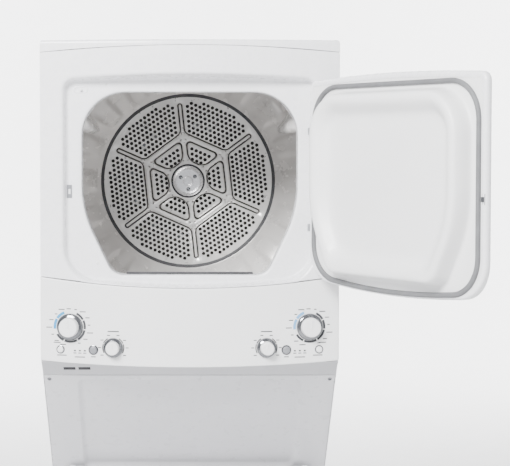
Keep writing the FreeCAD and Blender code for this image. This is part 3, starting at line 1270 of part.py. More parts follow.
def pump_impeller():
    z0 = PUMP_TOP_Z - PUMP_H
    hub = rod(9, (PUMP_X, TUB_Y, z0 + 5), (0, 0, 1), 16)
    shaft = rod(2.5, (PUMP_X, TUB_Y, z0 - 34), (0, 0, 1), 42)
    blades = []
    for i in range(6):
        blade = box(PUMP_X, PUMP_X + PUMP_R - 10, TUB_Y - 1, TUB_Y + 1, z0 + 5, z0 + 19)
        blade.rotate(V(PUMP_X, TUB_Y, 0), V(0, 0, 1), 60 * i)
        blades.append(blade)
    return hub.fuse([shaft] + blades).removeSplitter()


def hose_line(points, bend):
    """Open wire through points, with each corner turned by an arc of the given radius."""
    edges = []
    start = points[0]
    for before, here, after in zip(points, points[1:], points[2:]):
        inward = (before - here).normalize()
        onward = (after - here).normalize()
        half = inward.getAngle(onward) / 2
        reach = bend / math.tan(half)
        middle = (inward + onward).normalize()
        a, b = here + inward * reach, here + onward * reach
        edges.append(Part.LineSegment(start, a).toShape())
        edges.append(Part.Arc(a, here + middle * (bend / math.sin(half) - bend), b).toShape())
        start = b
    edges.append(Part.LineSegment(start, points[-1]).toShape())
    return Part.Wire(edges)


def drain_hose():
    """Hose inside the cabinet from the pump up to the outlet in the rear panel."""
    z0 = PUMP_TOP_Z - PUMP_H + 18
    turn_y = REAR_Y - 70
    points = [V(PUMP_X, TUB_Y + PUMP_R + 20, z0), V(PUMP_X, turn_y, z0), V(PUMP_X, turn_y, DRAIN_Z),
              V(DRAIN_X, turn_y, DRAIN_Z), V(DRAIN_X, REAR_Y + DRAIN_OUT, DRAIN_Z)]
    line = hose_line(points, DRAIN_BEND)
    rings = [Part.Wire(Part.makeCircle(r, points[0], V(0, 1, 0))) for r in (DRAIN_R - STEP, DRAIN_R - 3)]
    outside, inside = [line.makePipeShell([ring], True, False) for ring in rings]
    tail = rod(DRAIN_R, (DRAIN_X, REAR_Y + TAIL_GAP, DRAIN_Z), (0, 1, 0), DRAIN_OUT - TAIL_GAP)
    return outside.fuse(tail).cut(inside).removeSplitter()


def inlet_valve():
    """Twin water valve with its two hose tails through the rear panel."""
    y1 = REAR_Y - SHEET - CLEAR
    body = box(INLET_X - 60, INLET_X + 60, y1 - 34, y1, INLET_Z - 22, INLET_Z + 22)
    tails = []
    bores = []
    for side in (-1, 1):
        x = INLET_X + side * INLET_SPACING / 2
        tails.append(rod(INLET_R - STEP, (x, y1 - 1, INLET_Z), (0, 1, 0), REAR_Y + TAIL_GAP - y1 + 1))
        tails.append(rod(INLET_R, (x, REAR_Y + TAIL_GAP, INLET_Z), (0, 1, 0), INLET_OUT - TAIL_GAP))
        bores.append(rod(8.0, (x, y1 - 20, INLET_Z), (0, 1, 0), 60))
    spout = box(INLET_X - 14, INLET_X + 14, TUB_Y + 150, y1 - 33, INLET_Z + 4, INLET_Z + 20)
    return body.fuse(tails + [spout]).cut(bores).removeSplitter()


def belt_side(fraction, offset):
    """Point off the belt's right-hand run: fraction of the way down, offset outwards."""
    drop = DRUM_Z - MOTOR_Z
    angle = math.acos((DRUM_R - PULLEY_R) / drop)
    out = V(math.sin(angle), 0, -math.cos(angle))
    high = V(0, 0, DRUM_Z) + out * DRUM_R
    low = V(0, 0, MOTOR_Z) + out * PULLEY_R
    return high + (low - high) * fraction + out * (offset + CLEAR + BELT_T)


# ---- places that need the belt's run
IDLER_SPOT = belt_side(IDLER_DOWN, IDLER_R + CLEAR)
IDLER_X = IDLER_SPOT.x
IDLER_Z = IDLER_SPOT.z
IDLER_BASE_X = IDLER_X + IDLER_ARM * math.cos(math.radians(IDLER_SLOPE))
IDLER_BASE_Z = IDLER_Z - IDLER_ARM * math.sin(math.radians(IDLER_SLOPE))

PIECES = [
    dryer_sides, dryer_top, rear_panels, dryer_front, front_bulkhead, rear_bulkhead, drum_bearing,
    heater_housing, dryer_base_pan, blower_housing, exhaust_duct, dryer_motor, dryer_belt,
    lint_filter, drum_shell, drum_lifters, drum_back, drum_hub, blower_wheel, idler_arm, idler_wheel,
    hinge_brackets, door_catch, switch_plunger, console_panel, access_panel,
    panel_screws, control_switches, cord_gland,
    washer_base, levelling_feet, washer_cabinet, washer_deck, washer_lid, outer_tub,
    suspension_struts, wash_gearcase, wash_basket, agitator, wash_pulley, wash_motor,
    wash_motor_rotor, wash_belt, pump_housing, pump_impeller, drain_hose, inlet_valve,
]
DOOR_PIECES = [door_outer, door_inner, door_gasket, door_strike, hinge_leaves]
KNOBS = {
    "wash_cycle_knob": (-BIG_KNOB_X, BIG_KNOB_Z, BIG_KNOB_R),
    "wash_water_knob": (-SMALL_KNOB_X, SMALL_KNOB_Z, SMALL_KNOB_R),
    "dry_cycle_knob": (BIG_KNOB_X, BIG_KNOB_Z, BIG_KNOB_R),
    "dry_heat_knob": (SMALL_KNOB_X, SMALL_KNOB_Z, SMALL_KNOB_R),
}
BUTTONS = {
    "wash_option_button": (-OUTER_BUTTON_X, BUTTON_Z, OUTER_BUTTON_R),
    "wash_start_button": (-INNER_BUTTON_X, BUTTON_Z, INNER_BUTTON_R),
    "dry_option_button": (OUTER_BUTTON_X, BUTTON_Z, OUTER_BUTTON_R),
    "dry_start_button": (INNER_BUTTON_X, BUTTON_Z, INNER_BUTTON_R),
}

os.makedirs("parts", exist_ok=True)
for piece in PIECES:
    write(piece.__name__, piece())
for piece in DOOR_PIECES:
    write(piece.__name__, closed_to_rest(piece()))
for name, values in KNOBS.items():
    write(name, knob(*values))
for name, values in BUTTONS.items():
    write(name, button(*values))
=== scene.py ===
import json
import math
import bmesh
import bpy
import numpy as np
from mathutils import Matrix, Vector
from mathutils.geometry import delaunay_2d_cdt


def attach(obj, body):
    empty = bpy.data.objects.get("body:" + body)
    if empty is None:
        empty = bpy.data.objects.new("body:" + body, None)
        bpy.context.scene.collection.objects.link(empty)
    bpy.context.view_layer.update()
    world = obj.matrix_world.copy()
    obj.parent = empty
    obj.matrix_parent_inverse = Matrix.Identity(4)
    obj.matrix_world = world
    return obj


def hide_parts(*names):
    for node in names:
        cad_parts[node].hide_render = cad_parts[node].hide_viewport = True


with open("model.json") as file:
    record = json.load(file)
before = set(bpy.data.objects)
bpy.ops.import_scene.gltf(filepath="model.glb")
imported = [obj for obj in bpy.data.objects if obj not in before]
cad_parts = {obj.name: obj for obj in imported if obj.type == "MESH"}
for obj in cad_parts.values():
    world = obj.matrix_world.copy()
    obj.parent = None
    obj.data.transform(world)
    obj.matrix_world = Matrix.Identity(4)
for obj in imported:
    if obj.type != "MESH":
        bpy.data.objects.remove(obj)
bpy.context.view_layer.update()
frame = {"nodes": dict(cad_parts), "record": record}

# A stacked laundry centre. Sizes are in millimetres and become metres when a mesh is made.
# ---- sizes
HALF = 341.5
HEIGHT = 1924.0
REAR_Y = 380.0
DRYER_Y = -320.0
BACK_Y = -302.0
FRONT_BOW = 35.0
BOW_R = (HALF ** 2 + FRONT_BOW ** 2) / (2 * FRONT_BOW)
TOP_CAP = 27.0
TOP_ARCH = 15.0
SEAM_SIDE_Z = 1386.0
SEAM_ARCH = 24.0
RECESS_HALF = 286.0
RECESS_DEPTH = 24.0
RECESS_TOP_Z = 1833.0
RECESS_ARCH = 9.0
RECESS_LIP = 2.0
RECESS_TOP_R = 24.0
RECESS_LOW_R = 82.0
ARCH_SPREAD = 0.68
MOUTH_TOP_Z = 1807.0
MOUTH_LOW_Z = 1388.0
MOUTH_HALF = 247.0
MOUTH_FLAT_LOW = 176.0
MOUTH_TOP_R = 100.0
MOUTH_SIDE_R = 260.0
MOUTH_LOW_R = 40.0
MOUTH_SIDE_LOW_Z = 1535.0
DOOR_GAP = 3.5
DOOR_REST = 122.0
DOOR_MID_Z = 1600.0
HINGE_SPREAD = 110.0
HINGE_HALF = 29.0
GASKET_T = 8.0
GASKET_SIDE = 15.0
GASKET_TOP = 10.0
GASKET_R = 84.0
PLUG_GAP = 3.0
PLUG_RAISE = 8.0
DRUM_Z = 1590.0
DRUM_R = 320.0
DRUM_BACK_Y = 278.0
DRUM_FRONT_Y = -254.0
DRUM_CONE = 62.0
FLUTES = 18
FLUTE_DEPTH = 7.0
FLUTE_SHARE = 0.86
DISC_R = 228.0
HUB_R = 41.0
HUB_SCREW_R = 22.0
CONSOLE_LOW_Z = 1193.0
CONSOLE_ARCH = 11.0
CONSOLE_EDGE_R = 3.0
STRIP_LOW_Z = 1150.0
SLANT_TOP_Z = 1213.0
SLANT_RUN = 312.0
SLANT_RISE = 343.0
SLOTS_X = (-277.5, -243.0)
DIAL_X = 273.0
DIAL_Z = 1272.0
DIAL_R = 30.5
SMALL_DIAL_X = 174.0
SMALL_DIAL_Z = 1226.0
SMALL_DIAL_R = 22.4
OPTION_X = 295.0
START_X = 219.5
LAMPS_X = 250.5
BUTTON_Z = 1220.0
SWITCH_X = -249.0
SWITCH_Z = 1812.0
DECK_Z = 870.0
SKIN = 1.2
MILLI = 0.001
ANY_TURN = 6.28
FORWARD = Vector((0.0, -1.0, 0.0))


def bow_y(x):
    """Bowed front surface of the dryer and its console at x."""
    return DRYER_Y - FRONT_BOW + BOW_R - math.sqrt(BOW_R ** 2 - x ** 2)


def seam_z(x):
    """Height of the seam between the console and the dryer's front."""
    return SEAM_SIDE_Z - SEAM_ARCH * (1 - (x / HALF) ** 2)


def slant_y(z):
    """Depth of the sloping panel at height z."""
    return DRYER_Y + SLANT_RUN * max(0.0, SLANT_TOP_Z - z) / SLANT_RISE


SIDE_Y = bow_y(RECESS_HALF)
FLANGE_Y = SIDE_Y + RECESS_DEPTH
DOOR_BACK_Y = FLANGE_Y - GASKET_T - 0.4
PIN = Vector((RECESS_HALF - 2.4, SIDE_Y - 0.4, 0.0))


# ---- materials
def new_material(name):
    """A material with its node tree, links, shader and the piece's own coordinates."""
    m = bpy.data.materials.new(name)
    m.use_nodes = True
    nodes, links = m.node_tree.nodes, m.node_tree.links
    nodes.clear()
    out = nodes.new("ShaderNodeOutputMaterial")
    shader = nodes.new("ShaderNodeBsdfPrincipled")
    links.new(shader.outputs[0], out.inputs[0])
    place = nodes.new("ShaderNodeTexCoord").outputs["Object"]
    return m, nodes, links, shader, place


def noise(nodes, links, place, scale, detail=3.0, stretch=None):
    """Noise from 0 to 1 over the piece's own coordinates, drawn out along an axis if asked."""
    if stretch:
        mapping = nodes.new("ShaderNodeMapping")
        mapping.inputs["Scale"].default_value = stretch
        links.new(place, mapping.inputs["Vector"])
        place = mapping.outputs[0]
    n = nodes.new("ShaderNodeTexNoise")
    n.inputs["Scale"].default_value = scale
    n.inputs["Detail"].default_value = detail
    links.new(place, n.inputs["Vector"])
    return n.outputs["Fac"]


def spread(nodes, links, value, low, high, from_low=0.3, from_high=0.7):
    """The value's middle range mapped to low..high."""
    r = nodes.new("ShaderNodeMapRange")
    r.inputs["From Min"].default_value = from_low
    r.inputs["From Max"].default_value = from_high
    r.inputs["To Min"].default_value = low
    r.inputs["To Max"].default_value = high
    links.new(value, r.inputs["Value"])
    return r.outputs[0]


def blend_colour(nodes, links, value, first, second):
    mix = nodes.new("ShaderNodeMix")
    mix.data_type = "RGBA"
    mix.inputs["A"].default_value = (*first, 1)
    mix.inputs["B"].default_value = (*second, 1)
    links.new(value, mix.inputs["Factor"])
    return mix.outputs["Result"]


def finish(name, base, worn, rough, metal=0.0, coat=0.0, grain=900.0, bump=0.04, cloud=6.0,
           stretch=None, rough_spread=0.08, scratch=0.0):
    """A painted, moulded or metal finish with grain, clouding, uneven gloss and fine scratches."""
    m, nodes, links, shader, place = new_material(name)
    clouds = noise(nodes, links, place, cloud, 4.0)
    tint = blend_colour(nodes, links, spread(nodes, links, clouds, 0.0, 1.0), base, worn)
    fine = noise(nodes, links, place, grain, 2.0, stretch)
    gloss = noise(nodes, links, place, cloud * 9, 5.0, stretch)
    roughness = spread(nodes, links, gloss, rough - rough_spread, rough + rough_spread)
    if scratch:
        marks = noise(nodes, links, place, 60.0, 6.0, (1.0, 1.0, 14.0))
        line = spread(nodes, links, marks, 0.0, scratch, 0.62, 0.70)
        add = nodes.new("ShaderNodeMath")
        add.operation = "ADD"
        links.new(roughness, add.inputs[0])
        links.new(line, add.inputs[1])
        roughness = add.outputs[0]
    links.new(tint, shader.inputs["Base Color"])
    links.new(roughness, shader.inputs["Roughness"])
    shader.inputs["Metallic"].default_value = metal
    shader.inputs["Coat Weight"].default_value = coat
    shader.inputs["Coat Roughness"].default_value = 0.12
    b = nodes.new("ShaderNodeBump")
    b.inputs["Strength"].default_value = bump
    b.inputs["Distance"].default_value = 0.0006
    links.new(fine, b.inputs["Height"])
    links.new(b.outputs[0], shader.inputs["Normal"])
    return m


MATERIALS = {
    "white_enamel": finish("enamel", (0.83, 0.83, 0.845), (0.80, 0.80, 0.82), 0.28, coat=0.25,
                           grain=700.0, bump=0.05, scratch=0.12),
    "white_plastic": finish("plastic", (0.82, 0.82, 0.82), (0.79, 0.79, 0.79), 0.36,
                            grain=1500.0, bump=0.08),
    "grey_button": finish("soft_grey", (0.23, 0.235, 0.25), (0.19, 0.195, 0.21), 0.34,
                          grain=1500.0, bump=0.06),
    "galvanised_steel": finish("galvanised", (0.55, 0.56, 0.58), (0.42, 0.43, 0.45), 0.42, metal=0.85,
                               cloud=45.0, grain=500.0, bump=0.10, scratch=0.15),
    "bright_steel": finish("bright_steel", (0.80, 0.80, 0.81), (0.66, 0.66, 0.68), 0.27, metal=1.0,
                           cloud=20.0, grain=260.0, bump=0.05, stretch=(1.0, 1.0, 12.0)),
    "grey_enamel": finish("grey_enamel", (0.40, 0.39, 0.385), (0.33, 0.325, 0.32), 0.40,
                          grain=650.0, bump=0.12, cloud=9.0, scratch=0.10),
    "grey_rubber": finish("rubber", (0.15, 0.152, 0.158), (0.12, 0.122, 0.127), 0.66,
                          grain=1100.0, bump=0.22, cloud=30.0),
    "dark_plastic": finish("dark_plastic", (0.045, 0.046, 0.05), (0.03, 0.03, 0.034), 0.5,
                           grain=1300.0, bump=0.16, cloud=25.0),
    "basket_enamel": finish("basket_enamel", (0.72, 0.73, 0.74), (0.62, 0.64, 0.66), 0.25, coat=0.3,
                            grain=420.0, bump=0.10, cloud=14.0),
    "pale_plastic": finish("pale_plastic", (0.66, 0.68, 0.70), (0.60, 0.62, 0.645), 0.42,
                           grain=1200.0, bump=0.10, cloud=18.0),
    "cast_metal": finish("cast_metal", (0.34, 0.345, 0.35), (0.24, 0.245, 0.25), 0.55, metal=0.7,
                         grain=330.0, bump=0.35, cloud=30.0),
}
DRUM_PAINT = finish("drum_paint", (0.66, 0.645, 0.63), (0.62, 0.605, 0.59), 0.26, metal=0.25, coat=0.3,
                    grain=600.0, bump=0.05, cloud=4.0, rough_spread=0.03)
# Near-black painted shade for the rear bulkhead, which is seen only through the disc's holes.
BULKHEAD_PAINTED_SHADE = finish("bulkhead_painted_shade", (0.035, 0.033, 0.03), (0.05, 0.045, 0.04), 0.7, cloud=9.0)


def with_painted_shade(m, colour):
    """The material with the given colour laid over it as painted shade, where the piece's stored shade value
    is high.
    """
    nodes, links = m.node_tree.nodes, m.node_tree.links
    shader = next(n for n in nodes if n.type == "BSDF_PRINCIPLED")
    clean = shader.inputs["Base Color"].links[0].from_socket
    value = nodes.new("ShaderNodeAttribute")
    value.attribute_name = "groove_shade"
    mix = nodes.new("ShaderNodeMix")
    mix.data_type = "RGBA"
    mix.inputs["B"].default_value = (*colour, 1)
    links.new(value.outputs["Fac"], mix.inputs["Factor"])
    links.new(clean, mix.inputs["A"])
    links.new(mix.outputs["Result"], shader.inputs["Base Color"])
    return m


# Near-black painted shade laid into the disc's pressed grooves.
GROOVE_SHADE = (0.05, 0.047, 0.045)
LIP_STEEL = finish("lip_steel", (0.80, 0.795, 0.78), (0.72, 0.71, 0.695), 0.5, metal=0.3,
                   grain=700.0, cloud=7.0)
DISC_STEEL = with_painted_shade(finish("disc_steel", (0.78, 0.775, 0.76), (0.68, 0.67, 0.655), 0.34, metal=0.55,
                           grain=700.0, bump=0.05, cloud=7.0), GROOVE_SHADE)
CHROME = finish("chrome", (0.22, 0.225, 0.235), (0.16, 0.165, 0.175), 0.12, metal=1.0,
                grain=1500.0, bump=0.02)
DARK_PRINT = finish("dark_print", (0.022, 0.023, 0.027), (0.04, 0.041, 0.046), 0.5, grain=2200.0, bump=0.1)
BLUE_PRINT = finish("blue_print", (0.03, 0.22, 0.52), (0.03, 0.30, 0.50), 0.5, grain=2200.0, bump=0.1)
PALE_PRINT = finish("pale_print", (0.16, 0.36, 0.62), (0.20, 0.40, 0.64), 0.5, grain=2200.0, bump=0.1)
# Painted shadow: near-black fill for the console's slot openings.
SHADOW_GAP = finish("slot_shadow", (0.012, 0.012, 0.014), (0.02, 0.02, 0.022), 0.7, grain=1500.0, bump=0.1)
# The console's white underside painted grey as shade, since it faces down.
STRIP_PAINTED_SHADE = finish("strip_painted_shade", (0.47, 0.47, 0.485), (0.44, 0.44, 0.455), 0.40, grain=1200.0, bump=0.06)
# The white enamel of the sloping panel painted grey as shade, since the panel faces partly down.
SLOPE_PAINTED_SHADE = finish("slope_painted_shade", (0.63, 0.63, 0.645), (0.60, 0.60, 0.615), 0.32, coat=0.15,
                     grain=700.0, bump=0.05, scratch=0.10)


# ---- making pieces
def in_scene(name, data):
    o = bpy.data.objects.new(name, data)
    bpy.context.scene.collection.objects.link(o)
    return o


def plain_mesh(o):
    """The object's shape with its modifiers worked in, as a mesh of its own."""
    return bpy.data.meshes.new_from_object(o.evaluated_get(bpy.context.evaluated_depsgraph_get()))


def piece(name, mesh, body, slot, replaces=(), material=None):
    """Puts a finished mesh (in millimetres) into the scene, riding on its body."""
    mesh.transform(Matrix.Scale(MILLI, 4))
    mesh.update()
    o = in_scene(name, mesh)
    if not mesh.materials:
        mesh.materials.append(material or MATERIALS[slot])
    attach(o, body)
    if replaces:
        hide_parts(*([replaces] if isinstance(replaces, str) else replaces))
    return o


def mesh_of(name, verts, faces, close=True):
    m = bpy.data.meshes.new(name)
    m.from_pydata([tuple(v) for v in verts], [], faces)
    if close:
        bm = bmesh.new()
        bm.from_mesh(m)
        bmesh.ops.remove_doubles(bm, verts=bm.verts, dist=1e-3)
        bmesh.ops.recalc_face_normals(bm, faces=bm.faces)
        bm.to_mesh(m)
        bm.free()
    return m


def worked(mesh, bevel=0.0, segments=2, thickness=0.0, angle=35.0, weighted=True):
    """The mesh after thickening, rounding its edges and smoothing, with no modifier left on it."""
    o = in_scene("work", mesh)
    if thickness:
        s = o.modifiers.new("skin", "SOLIDIFY")
        s.thickness, s.offset, s.use_even_offset = thickness, -1.0, False
    if bevel:
        b = o.modifiers.new("edges", "BEVEL")
        b.width, b.segments, b.limit_method = bevel, segments, "ANGLE"
        b.angle_limit = math.radians(angle)
        b.use_clamp_overlap = True
    made = plain_mesh(o)
    bpy.data.objects.remove(o)
    made.shade_smooth()
    made.set_sharp_from_angle(angle=math.radians(angle))
    if weighted:
        o = in_scene("work", made)
        w = o.modifiers.new("normals", "WEIGHTED_NORMAL")
        w.keep_sharp, w.weight = True, 50
        made = plain_mesh(o)
        bpy.data.objects.remove(o)
    return made


def block(low, high):
    """Closed box between two corners."""
    bm = bmesh.new()
    for v in bmesh.ops.create_cube(bm, size=1.0)["verts"]:
        v.co = Vector([low[i] + (high[i] - low[i]) * (v.co[i] + 0.5) for i in range(3)])
    mesh = bpy.data.meshes.new("block")
    bm.to_mesh(mesh)
    bm.free()
    return mesh


def cut_away(mesh, cutters):
    """The mesh less what the cutting meshes enclose."""
    bm = bmesh.new()
    for made in cutters:
        bm.from_mesh(made)
    cutter_mesh = bpy.data.meshes.new("cutter")
    bm.to_mesh(cutter_mesh)
    bm.free()
    cutter = in_scene("cutter", cutter_mesh)
    o = in_scene("work", mesh)
    b = o.modifiers.new("room", "BOOLEAN")
    b.operation, b.solver, b.object = "DIFFERENCE", "EXACT", cutter
    made = plain_mesh(o)
    bpy.data.objects.remove(o)
    bpy.data.objects.remove(cutter)
    return made


def joined(name, meshes):
    """Several meshes as one, keeping each one's material."""
    bm = bmesh.new()
    materials = []
    for m in meshes:
        start = len(bm.faces)
        bm.from_mesh(m)
        bm.faces.ensure_lookup_table()
        slot = m.materials[0] if m.materials else None
        if slot not in materials:
            materials.append(slot)
        for f in bm.faces[start:]:
            f.material_index = materials.index(slot)
    out = bpy.data.meshes.new(name)
    bm.to_mesh(out)
    bm.free()
    for slot in materials:
        if slot:
            out.materials.append(slot)
    return out


def outline(corners, steps=14):
    """Points round corners (u, v, radius), each turned by a tangent arc."""
    points = []
    count = len(corners)
    for i, (u, v, r) in enumerate(corners):
        here = Vector((u, v))
        before = (Vector(corners[i - 1][:2]) - here).normalized()
        after = (Vector(corners[(i + 1) % count][:2]) - here).normalized()
        if r <= 0.05:
            points.append(here)
            continue
        half = before.angle(after) / 2
        centre = here + (before + after).normalized() * (r / math.sin(half))
        start = here + before * (r / math.tan(half)) - centre
        end = here + after * (r / math.tan(half)) - centre
        turn = math.atan2(start.x * end.y - start.y * end.x, start.dot(end))
        for k in range(steps + 1):
            a = turn * k / steps
            points.append(centre + Vector((start.x * math.cos(a) - start.y * math.sin(a),
                                           start.x * math.sin(a) + start.y * math.cos(a))))
    return np.array([tuple(p) for p in points])


def bearings(points, centre):
    """Sorted angles of the points about the centre."""
    a = np.arctan2(points[:, 1] - centre[1], points[:, 0] - centre[0])
    return np.unique(np.round(np.sort(a), 5))


def along(points, centre, angles):
    """Where rays from the centre at the given angles meet the outline."""
    p = points - np.array(centre)
    a = np.arctan2(p[:, 1], p[:, 0])
    order = np.argsort(a, kind="stable")
    p, a = p[order], a[order]
    keep = np.concatenate([[True], np.diff(a) > 1e-7])
    p, a = p[keep], a[keep]
    p = np.vstack([p[-1:], p, p[:1]])
    a = np.concatenate([[a[-1] - 2 * math.pi], a, [a[0] + 2 * math.pi]])
    i = np.clip(np.searchsorted(a, angles, side="right") - 1, 0, len(a) - 2)
    first, second = p[i], p[i + 1]
    d = np.stack([np.cos(angles), np.sin(angles)], 1)
    e = second - first
    cross = d[:, 0] * e[:, 1] - d[:, 1] * e[:, 0]
    t = (first[:, 0] * e[:, 1] - first[:, 1] * e[:, 0]) / cross
    return d * t[:, None] + np.array(centre)


def loft(name, rings, cap_first=False, cap_last=False, flip=False, close=False):
    """Sheet through rings of equal length; a cap closes an end with one face."""
    verts, faces = [], []
    n = len(rings[0])
    for ring in rings:
        verts.extend(tuple(p) for p in ring)
    for r in range(len(rings) - 1):
        for i in range(n):
            j = (i + 1) % n
            quad = [r * n + i, r * n + j, (r + 1) * n + j, (r + 1) * n + i]
            faces.append(quad[::-1] if flip else quad)
    for wanted, r in ((cap_first, 0), (cap_last, len(rings) - 1)):
        if wanted:
            base = [r * n + i for i in range(n)]
            faces.append(base[::-1] if (flip != (r == 0)) else base)
    return mesh_of(name, verts, faces, close)


def revolve(name, profile, count=96):
    """Turned shape about +Z at the origin from (radius, height) points, top first, closed at the axis."""
    turns = [2 * math.pi * k / count for k in range(count)]
    rings = [[(max(r, 1e-4) * math.cos(a), max(r, 1e-4) * math.sin(a), h) for a in turns] for r, h in profile]
    return loft(name, rings, True, True, close=True)


def hoop(name, profile, count=72, angle=35.0):
    """Turned ring about +Z: the closed profile of (radius, height) points doesn't reach the axis."""
    verts, faces = [], []
    n = len(profile)
    for k in range(count):
        a = 2 * math.pi * k / count
        verts.extend((r * math.cos(a), r * math.sin(a), h) for r, h in profile)
    for k in range(count):
        for i in range(n):
            first, second = k * n, (k + 1) % count * n
            faces.append([first + i, second + i, second + (i + 1) % n, first + (i + 1) % n])
    return worked(mesh_of(name, verts, faces), angle=angle)


def facing(mesh, at, out):
    """Turns a mesh made about +Z to face along out and moves it to its place."""
    turn = Vector(out).to_track_quat("Z", "Y").to_matrix().to_4x4()
    mesh.transform(Matrix.Translation(Vector(at)) @ turn)
    return mesh


def on_console(mesh, x, z):
    """Places a mesh made about +Z (its front) on the console's surface at x, z."""
    stand = Matrix.Rotation(math.asin(x / BOW_R), 4, "Z") @ Matrix.Rotation(math.radians(90), 4, "X")
    mesh.transform(Matrix.Translation((x, bow_y(x), z)) @ stand)
    return mesh


# ---- outlines of the front, seen from the front
CENTRE = (0.0, DOOR_MID_Z)


def apex(half, rise, z):
    """Corner above the middle of an edge at z, whose wide radius arches the edge by rise."""
    height = rise / (1 - ARCH_SPREAD / 2)
    return (0.0, z + height, ARCH_SPREAD * half ** 2 / abs(height))


def recess(inset):
    """Outline of the dish that the door sits in."""
    half = RECESS_HALF - inset
    top = RECESS_TOP_Z - inset
    low = seam_z(RECESS_HALF) + RECESS_LIP + inset
    sag = seam_z(0) - seam_z(RECESS_HALF)
    low_r, top_r = RECESS_LOW_R - inset, RECESS_TOP_R - inset
    return outline([(-half, low, low_r), apex(half, sag, low), (half, low, low_r),
                    (half, top, top_r), apex(half, RECESS_ARCH, top), (-half, top, top_r)])


def mouth(inset, low_raise=0.0):
    """Outline of the way into the drum."""
    half = MOUTH_HALF - inset
    flat = MOUTH_FLAT_LOW - 0.6 * inset
    top = MOUTH_TOP_Z - inset
    low = MOUTH_LOW_Z + inset + low_raise
    top_r = max(MOUTH_TOP_R - inset, 30.0)
    return outline([(-flat, low, MOUTH_LOW_R), (flat, low, MOUTH_LOW_R),
                    (half, MOUTH_SIDE_LOW_Z, MOUTH_SIDE_R), (half, top, top_r),
                    (-half, top, top_r), (-half, MOUTH_SIDE_LOW_Z, MOUTH_SIDE_R)])


def gasket_line(inset):
    """Outline of the seal on the door's margin."""
    half = RECESS_HALF - DOOR_GAP - GASKET_SIDE - inset
    top = RECESS_TOP_Z - DOOR_GAP - GASKET_TOP - inset
    low = seam_z(RECESS_HALF) + RECESS_LIP + DOOR_GAP + 4.0 + inset
    sag = seam_z(0) - seam_z(RECESS_HALF)
    r = GASKET_R - inset
    return outline([(-half, low, r), apex(half, sag, low), (half, low, r), (half, top, r), (-half, top, r)])


def pan(inset):
    """Outline of the pressed front, between the console's seam and the top panel."""
    half = HALF - inset
    low = SEAM_SIDE_Z + inset
    top = HEIGHT - TOP_CAP - 0.3 - inset
    r = max(5.0 - inset, 0.5)
    return outline([(-half, low, r), apex(half, -SEAM_ARCH, low), (half, low, r),
                    (half, top, r), apex(half, TOP_ARCH, top), (-half, top, r)])


ANGLES = np.unique(np.round(np.concatenate([
    bearings(recess(0), CENTRE), bearings(mouth(0), CENTRE), bearings(pan(0), CENTRE),
    np.linspace(-math.pi, math.pi, 97)[:-1]]), 3))


def front_ring(points, share):
    """Ring on the bowed front at share 0, on the recess's flat floor at share 1."""
    return [(x, (1 - share) * bow_y(x) + share * FLANGE_Y, z) for x, z in along(points, CENTRE, ANGLES)]


def flat_ring(points, y):
    return [(x, y, z) for x, z in along(points, CENTRE, ANGLES)]


def drawn_in(ring, steps, surface=None):
    """Rings shrunk towards the middle, each point at its own depth or on the surface y(x)."""
    return [[(s * x, surface(s * x) if surface else y, DOOR_MID_Z + s * (z - DOOR_MID_Z)) for x, y, z in ring]
            for s in steps]


# ---- dryer front
def make_dryer_front():
    """Bowed front, with the dish for the door and the drum's mouth in it."""
    rings = [[(x, BACK_Y, z) for x, z in along(pan(0.1), CENTRE, ANGLES)]]
    for inset, drop in ((0.1, 5.0), (0.2, 2.2), (0.5, 0.8), (0.8, 0.2), (1.1, 0.0)):
        rings.append([(x, bow_y(x) + drop, z) for x, z in along(pan(inset), CENTRE, ANGLES)])
    wall = ((-11.0, 0.0), (-8.0, 0.015), (-5.0, 0.06), (-2.6, 0.14), (-0.8, 0.26), (0.4, 0.42), (1.2, 0.58),
            (1.8, 0.76), (2.6, 0.88), (4.0, 0.955), (6.0, 0.99), (8.0, 1.0))
    floor_line = along(pan(1.4), CENTRE, ANGLES)
    for inset, share in wall:
        ring = front_ring(recess(inset), share)
        rings.append([(x, y, max(z, low) if z < DOOR_MID_Z else z)
                      for (x, y, z), (_, low) in zip(ring, floor_line)])
    for inset, drop in ((-9.0, 0.0), (-6.0, 0.0), (-3.0, 0.6), (-1.0, 2.0), (0.0, 4.5), (0.0, 12.0)):
        rings.append(flat_ring(mouth(inset), FLANGE_Y + drop))
    return worked(loft("dryer_front", rings), thickness=SKIN)


piece("dryer_front_pressing", make_dryer_front(), "root", "white_enamel", "dryer_front")


# ---- top panel
def make_dryer_top():
    """Top panel with rolled edges and an arched front skirt."""
    half = HALF - 0.1
    back = REAR_Y - SKIN - 0.4
    count = 60
    z_low = HEIGHT - TOP_CAP

    def ring(inset, z, arch):
        points = []
        for k in range(count + 1):
            x = (half - inset) * (2 * k / count - 1)
            points.append((x, bow_y(x) + inset, z + arch * (1 - (x / HALF) ** 2)))
        return points + [(half - inset, DRYER_Y + 20, z), (half - inset, back - inset, z),
                         (-half + inset, back - inset, z), (-half + inset, DRYER_Y + 20, z)]

    top = HEIGHT - 0.1
    rings = [ring(0.0, z_low, TOP_ARCH), ring(0.0, z_low + 1.0, TOP_ARCH), ring(0.0, top - 8, 0.0)]
    for inset, drop in ((0.4, 5.0), (1.4, 2.6), (3.2, 0.9), (6.0, 0.1), (9.0, 0.0), (40.0, 0.0)):
        rings.append(ring(inset, top - drop, 0.0))
    return worked(loft("dryer_top", rings, cap_last=True), thickness=SKIN)


piece("dryer_top_panel", make_dryer_top(), "root", "white_enamel", "dryer_top")


